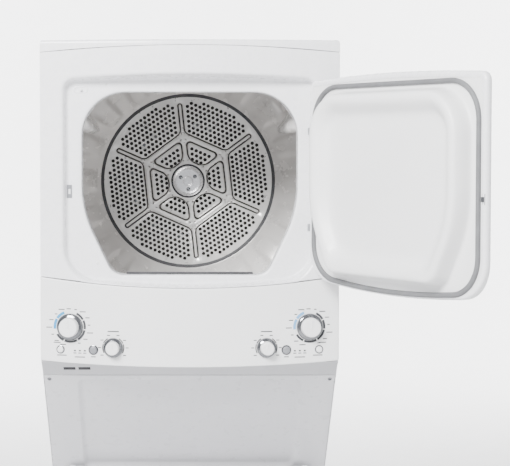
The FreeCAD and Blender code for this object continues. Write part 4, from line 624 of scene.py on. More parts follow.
# ---- console
def rolled(width, count, r, bend=5):
    """Places across a panel from one edge to the other, and how far each falls back at the rolled edges."""
    turns = [math.pi / 2 * k / bend for k in range(bend, 0, -1)]
    left = [(-width + r - r * math.sin(a), r * (1 - math.cos(a))) for a in turns]
    middle = [((-width + r) + 2 * (width - r) * k / count, 0.0) for k in range(count + 1)]
    return left + middle + [(-x, d) for x, d in reversed(left)]


def console_low(x):
    """Height of the console's lower edge."""
    return CONSOLE_LOW_Z - CONSOLE_ARCH * (1 - (x / HALF) ** 2)


def sheet(name, lines, thickness):
    """Sheet through lines of equal length, laid side by side."""
    n = len(lines[0])
    faces = [[i * n + j, i * n + j + 1, (i + 1) * n + j + 1, (i + 1) * n + j]
             for i in range(len(lines) - 1) for j in range(n - 1)]
    return worked(mesh_of(name, [p for line in lines for p in line], faces, close=False), thickness=thickness)


def make_console():
    """Bowed fascia with rolled edges, between the seam and the underside."""
    lines = []
    for x, fall in rolled(HALF - 0.2, 60, CONSOLE_EDGE_R):
        low, high = console_low(x), seam_z(x) - 0.8
        line = [(x, bow_y(x) + fall + drop, (low + high) / 2 + z)
                for z, drop in rolled((high - low) / 2, 24, CONSOLE_EDGE_R)]
        lines.append([(x, BACK_Y, line[0][2])] + line + [(x, BACK_Y, line[-1][2])])
    left, right = ([(line[0][0], BACK_Y, p[2]) for p in line] for line in (lines[0], lines[-1]))
    lines = [left] + lines + [right]
    return sheet("console", [line[::-1] for line in lines], 2.6)


def strip_point(x, share):
    """Point on the underside, share 0 at the console's edge and 1 at the sloping panel."""
    start = Vector((x, DRYER_Y - 2.0, CONSOLE_LOW_Z - 2.5))
    return start.lerp(Vector((x, slant_y(STRIP_LOW_Z), STRIP_LOW_Z + 1.0)), share)


def make_strip():
    """The console's underside: from its lower edge back to the sloping panel."""
    reach = HALF - SKIN - 0.6
    lines = []
    for k in range(41):
        x = reach * (2 * k / 40 - 1)
        low, y0 = console_low(x), bow_y(x) + 4.0
        lines.append([(x, BACK_Y, low + 12), (x, y0, low + 9), (x, y0, low + 1.5), (x, y0 + 2, low)]
                     + [tuple(strip_point(x, share / 6)) for share in range(7)]
                     + [(x, slant_y(STRIP_LOW_Z) + 3, STRIP_LOW_Z + 2.5)])
    return sheet("strip", lines, 1.5)


# name, x on the console, cap radius, slot
BUTTONS = (("wash_option", -OPTION_X, 7.2, "white_plastic"), ("dry_option", OPTION_X, 7.2, "white_plastic"),
           ("wash_start", -START_X, 8.8, "grey_button"), ("dry_start", START_X, 8.8, "grey_button"))


def button_bore(r):
    """What is cut from the console for a button's cap."""
    return revolve("bore", [(0.0, -9.0), (r + 0.4, -9.0), (r + 0.4, 9.0), (0.0, 9.0)], 56)


bores = [on_console(button_bore(r), x, BUTTON_Z) for _, x, r, _ in BUTTONS]
piece("console_fascia", cut_away(make_console(), bores), "root", "white_plastic", "console_panel")
# The underside is white plastic, given a grey colour here as painted shade.
piece("console_underside", make_strip(), "root", "white_plastic", material=STRIP_PAINTED_SHADE)


def rounded_block(half, at, axes, bevel, material=None):
    """Small block with rounded edges on the given axes."""
    m = block([-h for h in half], half)
    turn = Matrix([Vector(a).normalized() for a in axes]).transposed().to_4x4()
    m.transform(Matrix.Translation(Vector(at)) @ turn)
    m = worked(m, bevel=bevel, segments=3)
    if material:
        m.materials.append(material)
    return m


STRIP_DOWN = (strip_point(0, 1) - strip_point(0, 0)).normalized()
STRIP_OUT = Vector((0, STRIP_DOWN.z, -STRIP_DOWN.y))
# Near-black blocks at the console's slots: painted shadow inside the openings.
slots = [rounded_block((13.8, 6.6, 0.5), strip_point(x, 0.50) + STRIP_OUT * 0.1,
                       ((1, 0, 0), STRIP_DOWN, STRIP_OUT), 0.4, SHADOW_GAP) for x in SLOTS_X]
piece("console_slots", joined("slots", slots), "root", "dark_plastic", material=SHADOW_GAP)


# ---- knobs and buttons
# name, x and z on the console, skirt radius, cap radius
KNOBS = (("wash_cycle", -DIAL_X, DIAL_Z, DIAL_R, 21.3), ("dry_cycle", DIAL_X, DIAL_Z, DIAL_R, 21.3),
         ("wash_water", -SMALL_DIAL_X, SMALL_DIAL_Z, SMALL_DIAL_R, 14.6),
         ("dry_heat", SMALL_DIAL_X, SMALL_DIAL_Z, SMALL_DIAL_R, 14.6))


def make_cap(r):
    """Knob cap: a drawn-in wall with a shallow dish on top, and a ridge to point with."""
    body = worked(revolve("cap", [(0.0, 23.2), (r * 0.55, 23.4), (r - 2.2, 23.9), (r - 0.8, 23.2), (r, 21.6),
                                  (r + 0.6, 12.0), (r + 1.2, 6.0), (r - 2.0, 5.4), (0.0, 5.4)], 72))
    ridge = rounded_block((1.3, r * 0.42, 0.75), (0, r * 0.46, 23.9), ((1, 0, 0), (0, 1, 0), (0, 0, 1)), 0.6)
    return joined("cap", [body, ridge])


def make_skirt(r, cap):
    """Bright ring round a knob's foot."""
    return worked(revolve("skirt", [(cap + 0.6, 8.6), (cap + 1.6, 8.9), (r - 3.4, 7.4), (r - 1.2, 5.8),
                                    (r, 3.4), (r, 0.6), (r - 1.0, 0.3), (cap, 0.3)]))


def make_button(r):
    """Push-button cap, domed a little."""
    return worked(revolve("button", [(0.0, 4.9), (r * 0.6, 4.8), (r - 1.2, 4.2), (r - 0.3, 3.2), (r, 1.6),
                                     (r, -5.0), (0.0, -5.0)], 56))


def make_rim(r):
    """Bright ring round a button's bore."""
    return hoop("rim", [(r + 0.35, -0.2), (r + 0.35, 1.0), (r + 1.0, 1.5), (r + 2.2, 1.0),
                        (r + 2.8, -0.2)], 56)


for name, x, z, r, cap in KNOBS:
    top = on_console(make_cap(cap), x, z)
    ring = on_console(make_skirt(r, cap), x, z)
    piece(name + "_cap", top, name, "white_plastic", name + "_knob")
    piece(name + "_skirt", ring, name, "bright_steel", material=CHROME)

for name, x, r, slot in BUTTONS:
    piece(name + "_cap", on_console(make_button(r), x, BUTTON_Z), name, slot, name + "_button")
rims = [on_console(make_rim(r), x, BUTTON_Z) for _, x, r, _ in BUTTONS]
piece("button_rims", joined("rims", rims), "root", "bright_steel", material=CHROME)


# ---- prints on the console
def printed(points_low, points_high, material):
    """Thin printed band on the console between two rows of (x, z) points."""
    verts, faces = [], []
    n = len(points_low)
    for lift in (0.10, 0.32):
        for row in (points_low, points_high):
            verts.extend((x, bow_y(x) - lift, z) for x, z in row)
    for i in range(n - 1):
        faces.append([2 * n + i, 2 * n + i + 1, 3 * n + i + 1, 3 * n + i])
        faces.append([i, n + i, n + i + 1, i + 1])
        faces.append([i, i + 1, 2 * n + i + 1, 2 * n + i])
        faces.append([n + i, 3 * n + i, 3 * n + i + 1, n + i + 1])
    faces += [[0, 2 * n, 3 * n, n], [n - 1, 2 * n - 1, 4 * n - 1, 3 * n - 1]]
    m = mesh_of("print", verts, faces)
    m.materials.append(material)
    return m


def printed_arc(x, z, r0, r1, start, end, material, steps=30):
    turns = [math.radians(start + (end - start) * k / steps) for k in range(steps + 1)]
    low = [(x + r0 * math.cos(a), z + r0 * math.sin(a)) for a in turns]
    high = [(x + r1 * math.cos(a), z + r1 * math.sin(a)) for a in turns]
    return printed(low, high, material)


def printed_bar(x, z, long, tall, material):
    return printed([(x - long / 2 + long * k / 4, z - tall / 2) for k in range(5)],
                   [(x - long / 2 + long * k / 4, z + tall / 2) for k in range(5)], material)


def dial_prints(x, blue):
    """Coloured and dark arcs round a large dial, and plain bars in place of its words."""
    made = [printed_arc(x, DIAL_Z, 32.0, 38.0, start, end, blue, 16)
            for start, end in ((112, 146), (150, 188))]
    for start, end in ((64, 30), (26, -8), (-12, -58), (-62, -112), (-116, -150)):
        made.append(printed_arc(x, DIAL_Z, 31.6, 36.6, start, end, DARK_PRINT, 16))
    for turn in range(-60, 260, 22):
        long = 6.0 + 4.0 * ((turn // 22) % 3)
        a = math.radians(turn)
        reach = 41.0 + long / 2 * abs(math.cos(a))
        made.append(printed_bar(x + reach * math.cos(a), DIAL_Z + reach * math.sin(a), long, 2.0, DARK_PRINT))
    return made


def small_dial_prints(x):
    """Thin arcs round a small dial, and plain bars in place of its words."""
    made = [printed_arc(x, SMALL_DIAL_Z, 23.2, 25.4, start, end, DARK_PRINT, 14)
            for start, end in ((58, 24), (20, -30), (-150, -200), (156, 122))]
    for turn in (-35, 0, 35, 70, 110, 145, 180, 215):
        a = math.radians(turn)
        made.append(printed_bar(x + 31.5 * math.cos(a), SMALL_DIAL_Z + 30.0 * math.sin(a),
                                7.0, 1.9, DARK_PRINT))
    return made


def lamp_prints(x):
    """Three lamps with a bar under each."""
    made = []
    for k in (-1, 0, 1):
        made.append(printed_bar(x + k * 11.4, 1218.0, 4.6, 3.2, DARK_PRINT))
        made.append(printed_bar(x + k * 11.4, 1212.5, 7.0, 1.9, DARK_PRINT))
    return made


# x from the middle, z, length and height of the other bars on each side
CONSOLE_BARS = ((LAMPS_X, 1203.5, 24.0, 2.0), (292.0, 1207.0, 22.0, 2.0), (303.0, 1236.0, 16.0, 2.0),
                (START_X, 1204.5, 11.0, 2.0), (SMALL_DIAL_X, 1263.0, 26.0, 2.3))
prints = []
for side, blue in ((-1, BLUE_PRINT), (1, PALE_PRINT)):
    prints += dial_prints(side * DIAL_X, blue)
    prints += small_dial_prints(side * SMALL_DIAL_X)
    prints += lamp_prints(side * LAMPS_X)
    prints += [printed_bar(side * x, z, long, tall, DARK_PRINT) for x, z, long, tall in CONSOLE_BARS]
piece("console_prints", joined("prints", prints), "root", "dark_plastic")


# ---- what repeats, by geometry nodes
def stamp_tree():
    """Copies a shape onto every point, facing along the point's own direction, with a little random spin."""
    tree = bpy.data.node_groups.new("stamp_copies", "GeometryNodeTree")
    face = tree.interface
    face.new_socket("Geometry", in_out="INPUT", socket_type="NodeSocketGeometry")
    face.new_socket("Shape", in_out="INPUT", socket_type="NodeSocketObject")
    face.new_socket("Copy scale", in_out="INPUT", socket_type="NodeSocketFloat")
    face.new_socket("Spin range", in_out="INPUT", socket_type="NodeSocketFloat")
    face.new_socket("Seed", in_out="INPUT", socket_type="NodeSocketInt")
    face.new_socket("Finish", in_out="INPUT", socket_type="NodeSocketMaterial")
    face.new_socket("Geometry", in_out="OUTPUT", socket_type="NodeSocketGeometry")
    nodes, links = tree.nodes, tree.links
    start = nodes.new("NodeGroupInput")
    end = nodes.new("NodeGroupOutput")
    shape = nodes.new("GeometryNodeObjectInfo")
    links.new(start.outputs["Shape"], shape.inputs["Object"])
    out = nodes.new("GeometryNodeInputNamedAttribute")
    out.data_type = "FLOAT_VECTOR"
    out.inputs["Name"].default_value = "out"
    turn = nodes.new("FunctionNodeAlignRotationToVector")
    turn.axis = "Z"
    links.new(out.outputs["Attribute"], turn.inputs["Vector"])
    chance = nodes.new("FunctionNodeRandomValue")
    chance.data_type = "FLOAT"
    links.new(start.outputs["Spin range"], chance.inputs[3])
    links.new(start.outputs["Seed"], chance.inputs["Seed"])
    spin = nodes.new("FunctionNodeAxisAngleToRotation")
    spin.inputs["Axis"].default_value = (0, 0, 1)
    links.new(chance.outputs[1], spin.inputs["Angle"])
    both = nodes.new("FunctionNodeRotateRotation")
    both.rotation_space = "LOCAL"
    links.new(turn.outputs["Rotation"], both.inputs["Rotation"])
    links.new(spin.outputs["Rotation"], both.inputs["Rotate By"])
    size = nodes.new("ShaderNodeCombineXYZ")
    for axis in range(3):
        links.new(start.outputs["Copy scale"], size.inputs[axis])
    copies = nodes.new("GeometryNodeInstanceOnPoints")
    links.new(start.outputs["Geometry"], copies.inputs["Points"])
    links.new(shape.outputs["Geometry"], copies.inputs["Instance"])
    links.new(both.outputs["Rotation"], copies.inputs["Rotation"])
    links.new(size.outputs[0], copies.inputs["Scale"])
    real = nodes.new("GeometryNodeRealizeInstances")
    links.new(copies.outputs[0], real.inputs[0])
    paint = nodes.new("GeometryNodeSetMaterial")
    links.new(real.outputs[0], paint.inputs["Geometry"])
    links.new(start.outputs["Finish"], paint.inputs["Material"])
    links.new(paint.outputs[0], end.inputs[0])
    return tree


STAMP = stamp_tree()


def stamped(name, shape, spots, material, spin=0.0, seed=1, size=1.0):
    """Mesh of one shape copied to every (place, direction) in spots."""
    points = bpy.data.meshes.new(name)
    points.from_pydata([tuple(p) for p, _ in spots], [], [])
    way = points.attributes.new("out", "FLOAT_VECTOR", "POINT")
    way.data.foreach_set("vector", [c for _, d in spots for c in Vector(d).normalized()])
    source = in_scene(name + "_shape", shape)
    carrier = in_scene(name + "_points", points)
    mod = carrier.modifiers.new("stamp", "NODES")
    mod.node_group = STAMP
    given = {"Shape": source, "Copy scale": size, "Spin range": spin, "Seed": seed, "Finish": material}
    for item in STAMP.interface.items_tree:
        if item.in_out == "INPUT" and item.name in given:
            mod[item.identifier] = given[item.name]
    made = plain_mesh(carrier)
    carrier.modifiers.remove(mod)
    for o in (source, carrier):
        bpy.data.objects.remove(o)
    made.materials.clear()
    made.materials.append(material)
    return made


def make_screw_head(r, high, cross):
    """Pan head with a cross recess cut into it."""
    head = revolve("head", [(0.0, high), (r * 0.45, high * 0.97), (r * 0.8, high * 0.75), (r, high * 0.35),
                            (r, 0.0), (0.0, 0.0)], 24)
    for across, up in ((cross, cross * 0.22), (cross * 0.22, cross)):
        head = cut_away(head, [block((-across, -up, high * 0.6), (across, up, high * 1.4))])
    head.shade_smooth()
    head.set_sharp_from_angle(angle=math.radians(30))
    return head


# ---- screws of the sloping panel and the rear
SLOPE = math.atan2(SLANT_RUN, SLANT_RISE)
SLOPE_OUT = Vector((0, -math.cos(SLOPE), -math.sin(SLOPE)))
SCREW_Z = STRIP_LOW_Z - 10
spots = [(Vector((side * (HALF - 14), slant_y(SCREW_Z) + 0.3, SCREW_Z)), SLOPE_OUT) for side in (-1, 1)]
spots += [(Vector((side * (HALF - 6), REAR_Y, z)), Vector((0, 1, 0))) for side in (-1, 1)
          for z in (120, 500, DECK_Z + 60, 1400, HEIGHT - 40)]
screws = stamped("panel_screws", make_screw_head(4.9, 2.3, 2.6), spots, CHROME, ANY_TURN, 3)
piece("panel_screw_heads", screws, "root", "bright_steel", "panel_screws")


# ---- sloping panel
def make_slope():
    """Sloping panel with a field pressed into it."""
    reach = HALF - SKIN - 0.6
    z_top, z_low = STRIP_LOW_Z - 0.6, DECK_Z + 0.8
    down = Vector((0, slant_y(z_low) - slant_y(z_top), z_low - z_top))
    length = down.length
    down.normalize()
    corner = Vector((0, slant_y(z_top) + 0.3, z_top))

    def at(u, v, lift):
        return corner + Vector((u, 0, 0)) + down * v + SLOPE_OUT * lift

    def ring(half, v0, v1, r, lift):
        points = outline([(-half, v0, r), (half, v0, r), (half, v1, r), (-half, v1, r)], 8)
        return [at(u, v, lift) for u, v in points]

    rings = [ring(reach, 0.0, length, 0.6, -1.5),
             ring(reach - 0.6, 0.6, length - 0.6, 1.0, -0.4), ring(reach - 2, 2.0, length - 2, 1.5, 0.0),
             ring(264.0, 12.0, length - 12, 19.0, 0.0), ring(261.0, 15.0, length - 15, 17.0, -1.4),
             ring(257.5, 18.5, length - 18.5, 15.0, -4.6), ring(253.5, 22.5, length - 22.5, 13.0, -7.2),
             ring(249.0, 27.0, length - 27, 12.0, -8.0), ring(236.0, 40.0, length - 40, 10.0, -8.0)]
    return worked(loft("slope", rings, cap_last=True, flip=True), thickness=1.3)


# White enamel panel, given a grey colour here as painted shade.
piece("access_panel_pressing", make_slope(), "root", "white_enamel", "access_panel", material=SLOPE_PAINTED_SHADE)


# ---- door, made shut and swung to where it stands at rest
HINGE_MID_Z = (RECESS_TOP_Z + seam_z(0)) / 2 + 10.0
HINGE_Z = (HINGE_MID_Z - HINGE_SPREAD, HINGE_MID_Z + HINGE_SPREAD)
SWING = Matrix.Translation(PIN) @ Matrix.Rotation(math.radians(DOOR_REST), 4, "Z") @ Matrix.Translation(-PIN)


def swung(mesh):
    mesh.transform(SWING)
    return mesh


def make_door_skin():
    """Bowed front with a turned edge and a lip behind, notched round the hinges."""
    lip_y = DOOR_BACK_Y + 0.8
    front = [(x, bow_y(x) + 0.1, z) for x, z in along(recess(DOOR_GAP + 9.0), CENTRE, ANGLES)]
    rings = drawn_in(front, (0.08, 0.25, 0.5, 0.75, 0.92), lambda x: bow_y(x) + 0.1)
    rings.append(front)
    for inset, fall in ((5.5, 0.6), (3.2, 1.8), (1.4, 3.8), (0.3, 7.0)):
        rings.append([(x, bow_y(x) + fall, z) for x, z in along(recess(DOOR_GAP + inset), CENTRE, ANGLES)])
    for inset, back in ((0.3, -5.5), (1.2, -2.4), (3.0, -0.2), (5.5, 0.9), (9.0, 0.6), (13.0, 0.0)):
        rings.append(flat_ring(recess(DOOR_GAP + inset), lip_y + back))
    mesh = loft("door_skin", rings, cap_first=True, flip=True)
    room = [block((PIN.x - 7, PIN.y - 8, z - HINGE_HALF), (RECESS_HALF + 1, PIN.y + 18, z + HINGE_HALF))
            for z in HINGE_Z]
    return swung(cut_away(worked(mesh, thickness=SKIN), room))


def make_door_liner():
    """Flat margin, and a raised plug that fills the mouth, dished in the middle."""
    margin = ((6.0, -3.0), (6.0, -0.4), (7.0, 0.0), (9.0, 0.0))
    plug = ((-4.0, 0.0), (-1.0, 0.5), (1.5, 2.2), (3.2, 5.0), (4.4, 12.0), (6.4, 24.0), (8.4, 33.0),
            (10.6, 38.0), (14.0, 41.0), (18.5, 42.0), (24.0, 41.8), (29.0, 40.2), (34.0, 37.0), (39.0, 32.5),
            (44.0, 27.0), (49.0, 22.0), (55.0, 18.4), (62.0, 16.6), (72.0, 16.0))
    rings = [flat_ring(recess(DOOR_GAP + inset), DOOR_BACK_Y + height) for inset, height in margin]
    rings += [flat_ring(mouth(PLUG_GAP + inset, PLUG_RAISE), DOOR_BACK_Y + height) for inset, height in plug]
    rings += drawn_in(rings[-1], (0.85, 0.6, 0.35, 0.12))
    mesh = loft("door_liner", rings, cap_last=True, flip=True)
    return swung(worked(mesh, thickness=2.4))


def make_gasket():
    """Ribbed seal round the door's margin."""
    profile = ((0.2, 0.2), (0.0, 1.6), (0.5, 3.2), (0.3, 4.2), (1.4, 6.0), (3.4, 7.2), (5.6, 7.6), (7.8, 7.0),
               (9.4, 5.6), (10.4, 4.0), (10.2, 2.8), (10.9, 1.4), (10.8, 0.2))
    rings = [flat_ring(gasket_line(inset), DOOR_BACK_Y + height) for inset, height in profile]
    mesh = loft("gasket", rings + rings[:1], flip=True, close=True)
    return swung(worked(mesh, angle=50))


piece("door_skin", make_door_skin(), "door", "white_enamel", "door_outer")
piece("door_liner", make_door_liner(), "door", "white_plastic", "door_inner")
piece("door_seal", make_gasket(), "door", "grey_rubber", "door_gasket")


# ---- drum: shell with an embossed rear cone
def flute(angle):
    """0 between the cone's flutes to 1 in the middle of one."""
    wave = 0.5 + 0.5 * math.cos(FLUTES * angle)
    wave = min(1.0, max(0.0, (wave - 0.22) / 0.56))
    return wave * wave * (3 - 2 * wave)


def cone_line(outer, inner, run, steps=16):
    """Points (radius, height) down the cone, from its wide end."""
    start = DRUM_BACK_Y - DRUM_FRONT_Y - DRUM_CONE
    return [(outer - (outer - inner) * k / steps, start + run * k / steps) for k in range(1, steps + 1)]


def make_drum_shell():
    """Inner and outer walls as one closed turned sheet; the cone carries a ring of shallow flutes."""
    length = DRUM_BACK_Y - DRUM_FRONT_Y
    out, inside = DRUM_R - 0.1, DRUM_R - 1.5
    front = [(290.6, 14.0), (290.6, 1.0), (291.8, 0.2), (300.0, 0.0), (316.0, 0.0), (319.0, 1.0), (out, 4.0)]
    wall = (60.0, 200.0, 340.0, length - DRUM_CONE - 4)
    rim = [(DISC_R + 5, length), (DISC_R + 2.6, length), (DISC_R + 2.6, length - 1.5),
           (DISC_R + 6.0, length - 1.6)]
    front_inside = [(318.4, 4.0), (317.0, 2.2), (314.0, 1.5), (293.0, 1.5), (292.1, 2.4), (292.1, 14.0)]
    profile = (front + [(out, y) for y in wall] + cone_line(out, DISC_R + 7.9, DRUM_CONE - 0.5) + rim
               + cone_line(inside, DISC_R + 7.0, DRUM_CONE - 2.0)[::-1] + [(inside, y) for y in wall[::-1]]
               + front_inside)
    count, n = 360, len(profile)
    verts, faces = [], []
    for k in range(count):
        a = 2 * math.pi * k / count
        for r, y in profile:
            s = (y - (length - DRUM_CONE)) / DRUM_CONE / FLUTE_SHARE
            dent = FLUTE_DEPTH * flute(a) * (math.sin(math.pi * s) ** 0.7 if 0 < s < 1 else 0.0)
            r_in = r - dent * 0.56
            verts.append((r_in * math.cos(a), DRUM_FRONT_Y + y - dent * 0.82, DRUM_Z + r_in * math.sin(a)))
    for k in range(count):
        for i in range(n):
            first, second = k * n, (k + 1) % count * n
            faces.append([first + i, first + (i + 1) % n, second + (i + 1) % n, second + i])
    return worked(mesh_of("drum_shell", verts, faces), angle=40)


piece("drum_wall", make_drum_shell(), "drum", "galvanised_steel", "drum_shell", material=DRUM_PAINT)
# Dark ring round the disc's edge: the narrow gap there, darkened further as painted shadow cast by the drum's
# lip.
band = hoop("band", [(DISC_R - 2.6, 0.2), (DISC_R - 2.0, 1.2), (DISC_R, 2.2), (DISC_R + 5.6, 2.6),
                     (DISC_R + 6.6, 0.6)], 180)
piece("drum_seal_band", facing(band, (0, DRUM_BACK_Y, DRUM_Z), FORWARD), "drum", "dark_plastic")


# ---- drum: perforated disc
PITCH = 12.6
INNER_ROW = 58.0
HOLE_R = 4.9
SECTOR = 60.0
RIB_AT = 36.3
INNER_APOTHEM = (52.0, 99.0)
WEB = 115.0
OUTER_R = 218.0
RIB_HALF = 5.2
INNER_RIB_HALF = 7.0
INNER_CORNER = 15.0
OUTER_CORNER = 9.0
RIB_END = 203.0
GROOVE = 3.0
HUB_BORE_R = 12.2


def hole_places():
    """Holes in six sectors: a trapezoid inside the web, and rows parallel to the web outside it."""
    places = []
    for k in range(6):
        turn = math.radians(RIB_AT + SECTOR * (k + 0.5))
        c, s = math.cos(turn), math.sin(turn)
        local = [(INNER_ROW + PITCH * i, (j - (2 + i) / 2) * PITCH) for i in range(3) for j in range(3 + i)]
        i = 0
        d = WEB + 9.0
        while d < OUTER_R:
            for j in range(-12, 13):
                w = (j + 0.5 * (i % 2)) * PITCH
                if math.hypot(d, w) < OUTER_R - 5 and abs(w) < d * math.tan(math.radians(30)) - 16.0:
                    local.append((d, w))
            i += 1
            d += PITCH * 0.93
        places += [(d * c - w * s, d * s + w * c) for d, w in local]
    return places


def groove_gap(x, z):
    """Distance from a place on the disc to the nearest outline of the panels inside and outside the web."""
    half = math.radians(SECTOR / 2)
    a = math.radians((math.degrees(math.atan2(z, x)) - RIB_AT) % SECTOR) - half
    r = math.hypot(x, z)
    d, w = r * math.cos(a), abs(r * math.sin(a))
    side = d * math.sin(half) - w * math.cos(half)
    down_rib = d * math.cos(half) + w * math.sin(half)
    rib = math.hypot(side, max(0.0, down_rib - RIB_END)) - RIB_HALF
    inside = (d - INNER_APOTHEM[0], INNER_APOTHEM[1] - d, side - INNER_RIB_HALF)
    gaps = []
    for walls, corner in ((inside, INNER_CORNER), ((d - WEB, rib), OUTER_CORNER)):
        u, v = sorted(walls)[:2]
        gaps.append(abs(corner - math.hypot(corner - u, corner - v) if u < corner and 0 < v < corner else u))
    return min(gaps)


def make_drum_disc(places):
    """Disc with its real round holes, and a groove pressed round each of its panels, darkened there with
    painted shade.
    """
    rim = DISC_R + 5.5
    verts, edges = [], []

    def hoop_points(cx, cz, r, count):
        start = len(verts)
        for k in range(count):
            a = 2 * math.pi * k / count
            verts.append(Vector((cx + r * math.cos(a), cz + r * math.sin(a))))
        edges.extend((start + k, start + (k + 1) % count) for k in range(count))

    hoop_points(0, 0, rim, 180)
    hoop_points(0, 0, HUB_BORE_R, 32)
    for x, z in places:
        hoop_points(x, z, HOLE_R, 12)
    extra = set()
    turns = [math.pi * k / 60 for k in range(120)]
    for r in (18, 26, 34, 42, 47, 224, 229):
        extra.update((round(r * math.cos(a), 3), round(r * math.sin(a), 3)) for a in turns)
    for x in np.arange(-215.0, 215.0, 1.5):
        for z in np.arange(-215.0, 215.0, 1.5):
            r = math.hypot(x, z)
            if 43.0 < r < 215.0 and groove_gap(x, z) < GROOVE + 0.9:
                extra.add((x, z))
    holes = np.array(places)
    for x, z in sorted(extra):
        if np.min(np.hypot(holes[:, 0] - x, holes[:, 1] - z)) > HOLE_R + 0.6:
            verts.append(Vector((x, z)))
    flat, _, faces, _, _, _ = delaunay_2d_cdt(verts, edges, [], 0, 1e-4)
    flat = [tuple(v) for v in flat]

    def pressed(x, z):
        """0 on the flat sheet to 1 in the middle of a groove round one of the panels."""
        s = max(0.0, 1 - (groove_gap(x, z) / GROOVE) ** 2)
        return s * s

    keep = []
    for f in faces:
        cx = sum(flat[i][0] for i in f) / len(f)
        cz = sum(flat[i][1] for i in f) / len(f)
        if cx * cx + cz * cz < (HUB_BORE_R - 0.1) ** 2 or cx * cx + cz * cz > rim ** 2:
            continue
        if np.min(np.hypot(holes[:, 0] - cx, holes[:, 1] - cz)) < HOLE_R * 0.8:
            continue
        keep.append(list(f))
    points = [(x, DRUM_BACK_Y + GROOVE * pressed(x, z), DRUM_Z + z) for x, z in flat]
    mesh = mesh_of("disc", points, keep, close=False)
    bm = bmesh.new()
    bm.from_mesh(mesh)
    bmesh.ops.recalc_face_normals(bm, faces=bm.faces)
    bm.normal_update()
    if sum(f.normal.y for f in bm.faces) > 0:
        bmesh.ops.reverse_faces(bm, faces=bm.faces)
    bmesh.ops.delete(bm, geom=[v for v in bm.verts if not v.link_faces], context="VERTS")
    bm.to_mesh(mesh)
    bm.free()
    # Painted shade: each point's share of a groove, used to darken the grooves in the disc's colour.
    shade = mesh.attributes.new("groove_shade", "FLOAT", "POINT")
    shade.data.foreach_set("value", [min(1.0, 1.6 * pressed(v.co.x, v.co.z - DRUM_Z)) for v in mesh.vertices])
    return worked(mesh, thickness=1.3, angle=50, weighted=False)


PLACES = hole_places()
piece("drum_disc", make_drum_disc(PLACES), "drum", "bright_steel", "drum_back", material=DISC_STEEL)
lip = hoop("hole_lip", [(HOLE_R, 0.0), (HOLE_R + 0.1, 0.4), (HOLE_R + 0.3, 0.45), (HOLE_R + 0.7, 0.0)],
           12, angle=80)
spots = [(Vector((x, DRUM_BACK_Y - 0.05, DRUM_Z + z)), FORWARD) for x, z in PLACES]
lips = stamped("hole_lips", lip, spots, LIP_STEEL, ANY_TURN, 5)
piece("drum_disc_lips", lips, "drum", "bright_steel")

# ---- drum: hub
HUB = [(0.0, 2.6), (9.0, 2.6), (12.5, 3.2), (15.0, 4.4), (26.0, 4.6), (33.0, 5.2), (36.5, 7.4), (38.6, 8.0),
       (40.2, 7.2), (HUB_R, 5.0), (HUB_R, -1.0), (16.0, -1.0), (12.0, -4.0), (12.0, -54.0), (0.0, -54.0)]
hub = facing(worked(revolve("hub", HUB)), (0, DRUM_BACK_Y, DRUM_Z), FORWARD)
piece("drum_hub_cap", hub, "drum", "bright_steel", "drum_hub")
# Dark ring round the hub: painted shade for the groove pressed round it.
ring = hoop("hub_groove_shade", [(HUB_R + 0.1, 0.1), (HUB_R + 0.3, 1.2), (HUB_R + 2.6, 1.4), (HUB_R + 4.4, 0.1)], 96)
piece("drum_hub_ring", facing(ring, (0, DRUM_BACK_Y, DRUM_Z), FORWARD), "drum", "dark_plastic")
spots = [(Vector((HUB_SCREW_R * math.cos(a), DRUM_BACK_Y - 4.5, DRUM_Z + HUB_SCREW_R * math.sin(a))), FORWARD)
         for a in map(math.radians, (-87, 33, 153))]
screws = stamped("hub_screws", make_screw_head(5.4, 3.0, 2.9), spots, CHROME, ANY_TURN, 9)
piece("drum_hub_screws", screws, "drum", "bright_steel")


# ---- drum: lifters with rounded backs
LIFTER_HALF = ((0, 57.5), (5, 56), (11, 50), (15.5, 40), (20, 27), (25, 15), (30, 6), (34, 0))
LIFTER_ENDS = ((0.0, 0.18), (0.02, 0.62), (0.06, 0.88), (0.12, 1.0))
LIFTER_LONG = 298.0


def lifter_ring(y, swell):
    """Section of a lifter: its back, and its foot on the drum's wall."""
    section = [(-u, h) for u, h in LIFTER_HALF[:0:-1]] + list(LIFTER_HALF)
    wall = DRUM_R - 1.8
    ring = [(u, y, math.sqrt(wall ** 2 - u * u) - max(h * swell, 0.05)) for u, h in section]
    return ring + [(u, y, math.sqrt((wall + 0.1) ** 2 - u * u)) for u in (22, 8, -8, -22)]


def make_lifters():
    """Three lifters round the drum, each swelling from its ends."""
    stations = list(LIFTER_ENDS) + [(0.5, 1.0)] + [(1 - s, swell) for s, swell in LIFTER_ENDS[::-1]]
    made = []
    for i in range(3):
        rings = [lifter_ring(DRUM_FRONT_Y + 41 + LIFTER_LONG * s, swell) for s, swell in stations]
        m = loft("lifter", rings, True, True, close=True)
        m.transform(Matrix.Translation((0, 0, DRUM_Z)) @ Matrix.Rotation(math.radians(120 * i + 60), 4, "Y"))
        made.append(worked(m, angle=60))
    return joined("lifters", made)


piece("drum_vanes", make_lifters(), "drum", "galvanised_steel", "drum_lifters", material=DRUM_PAINT)


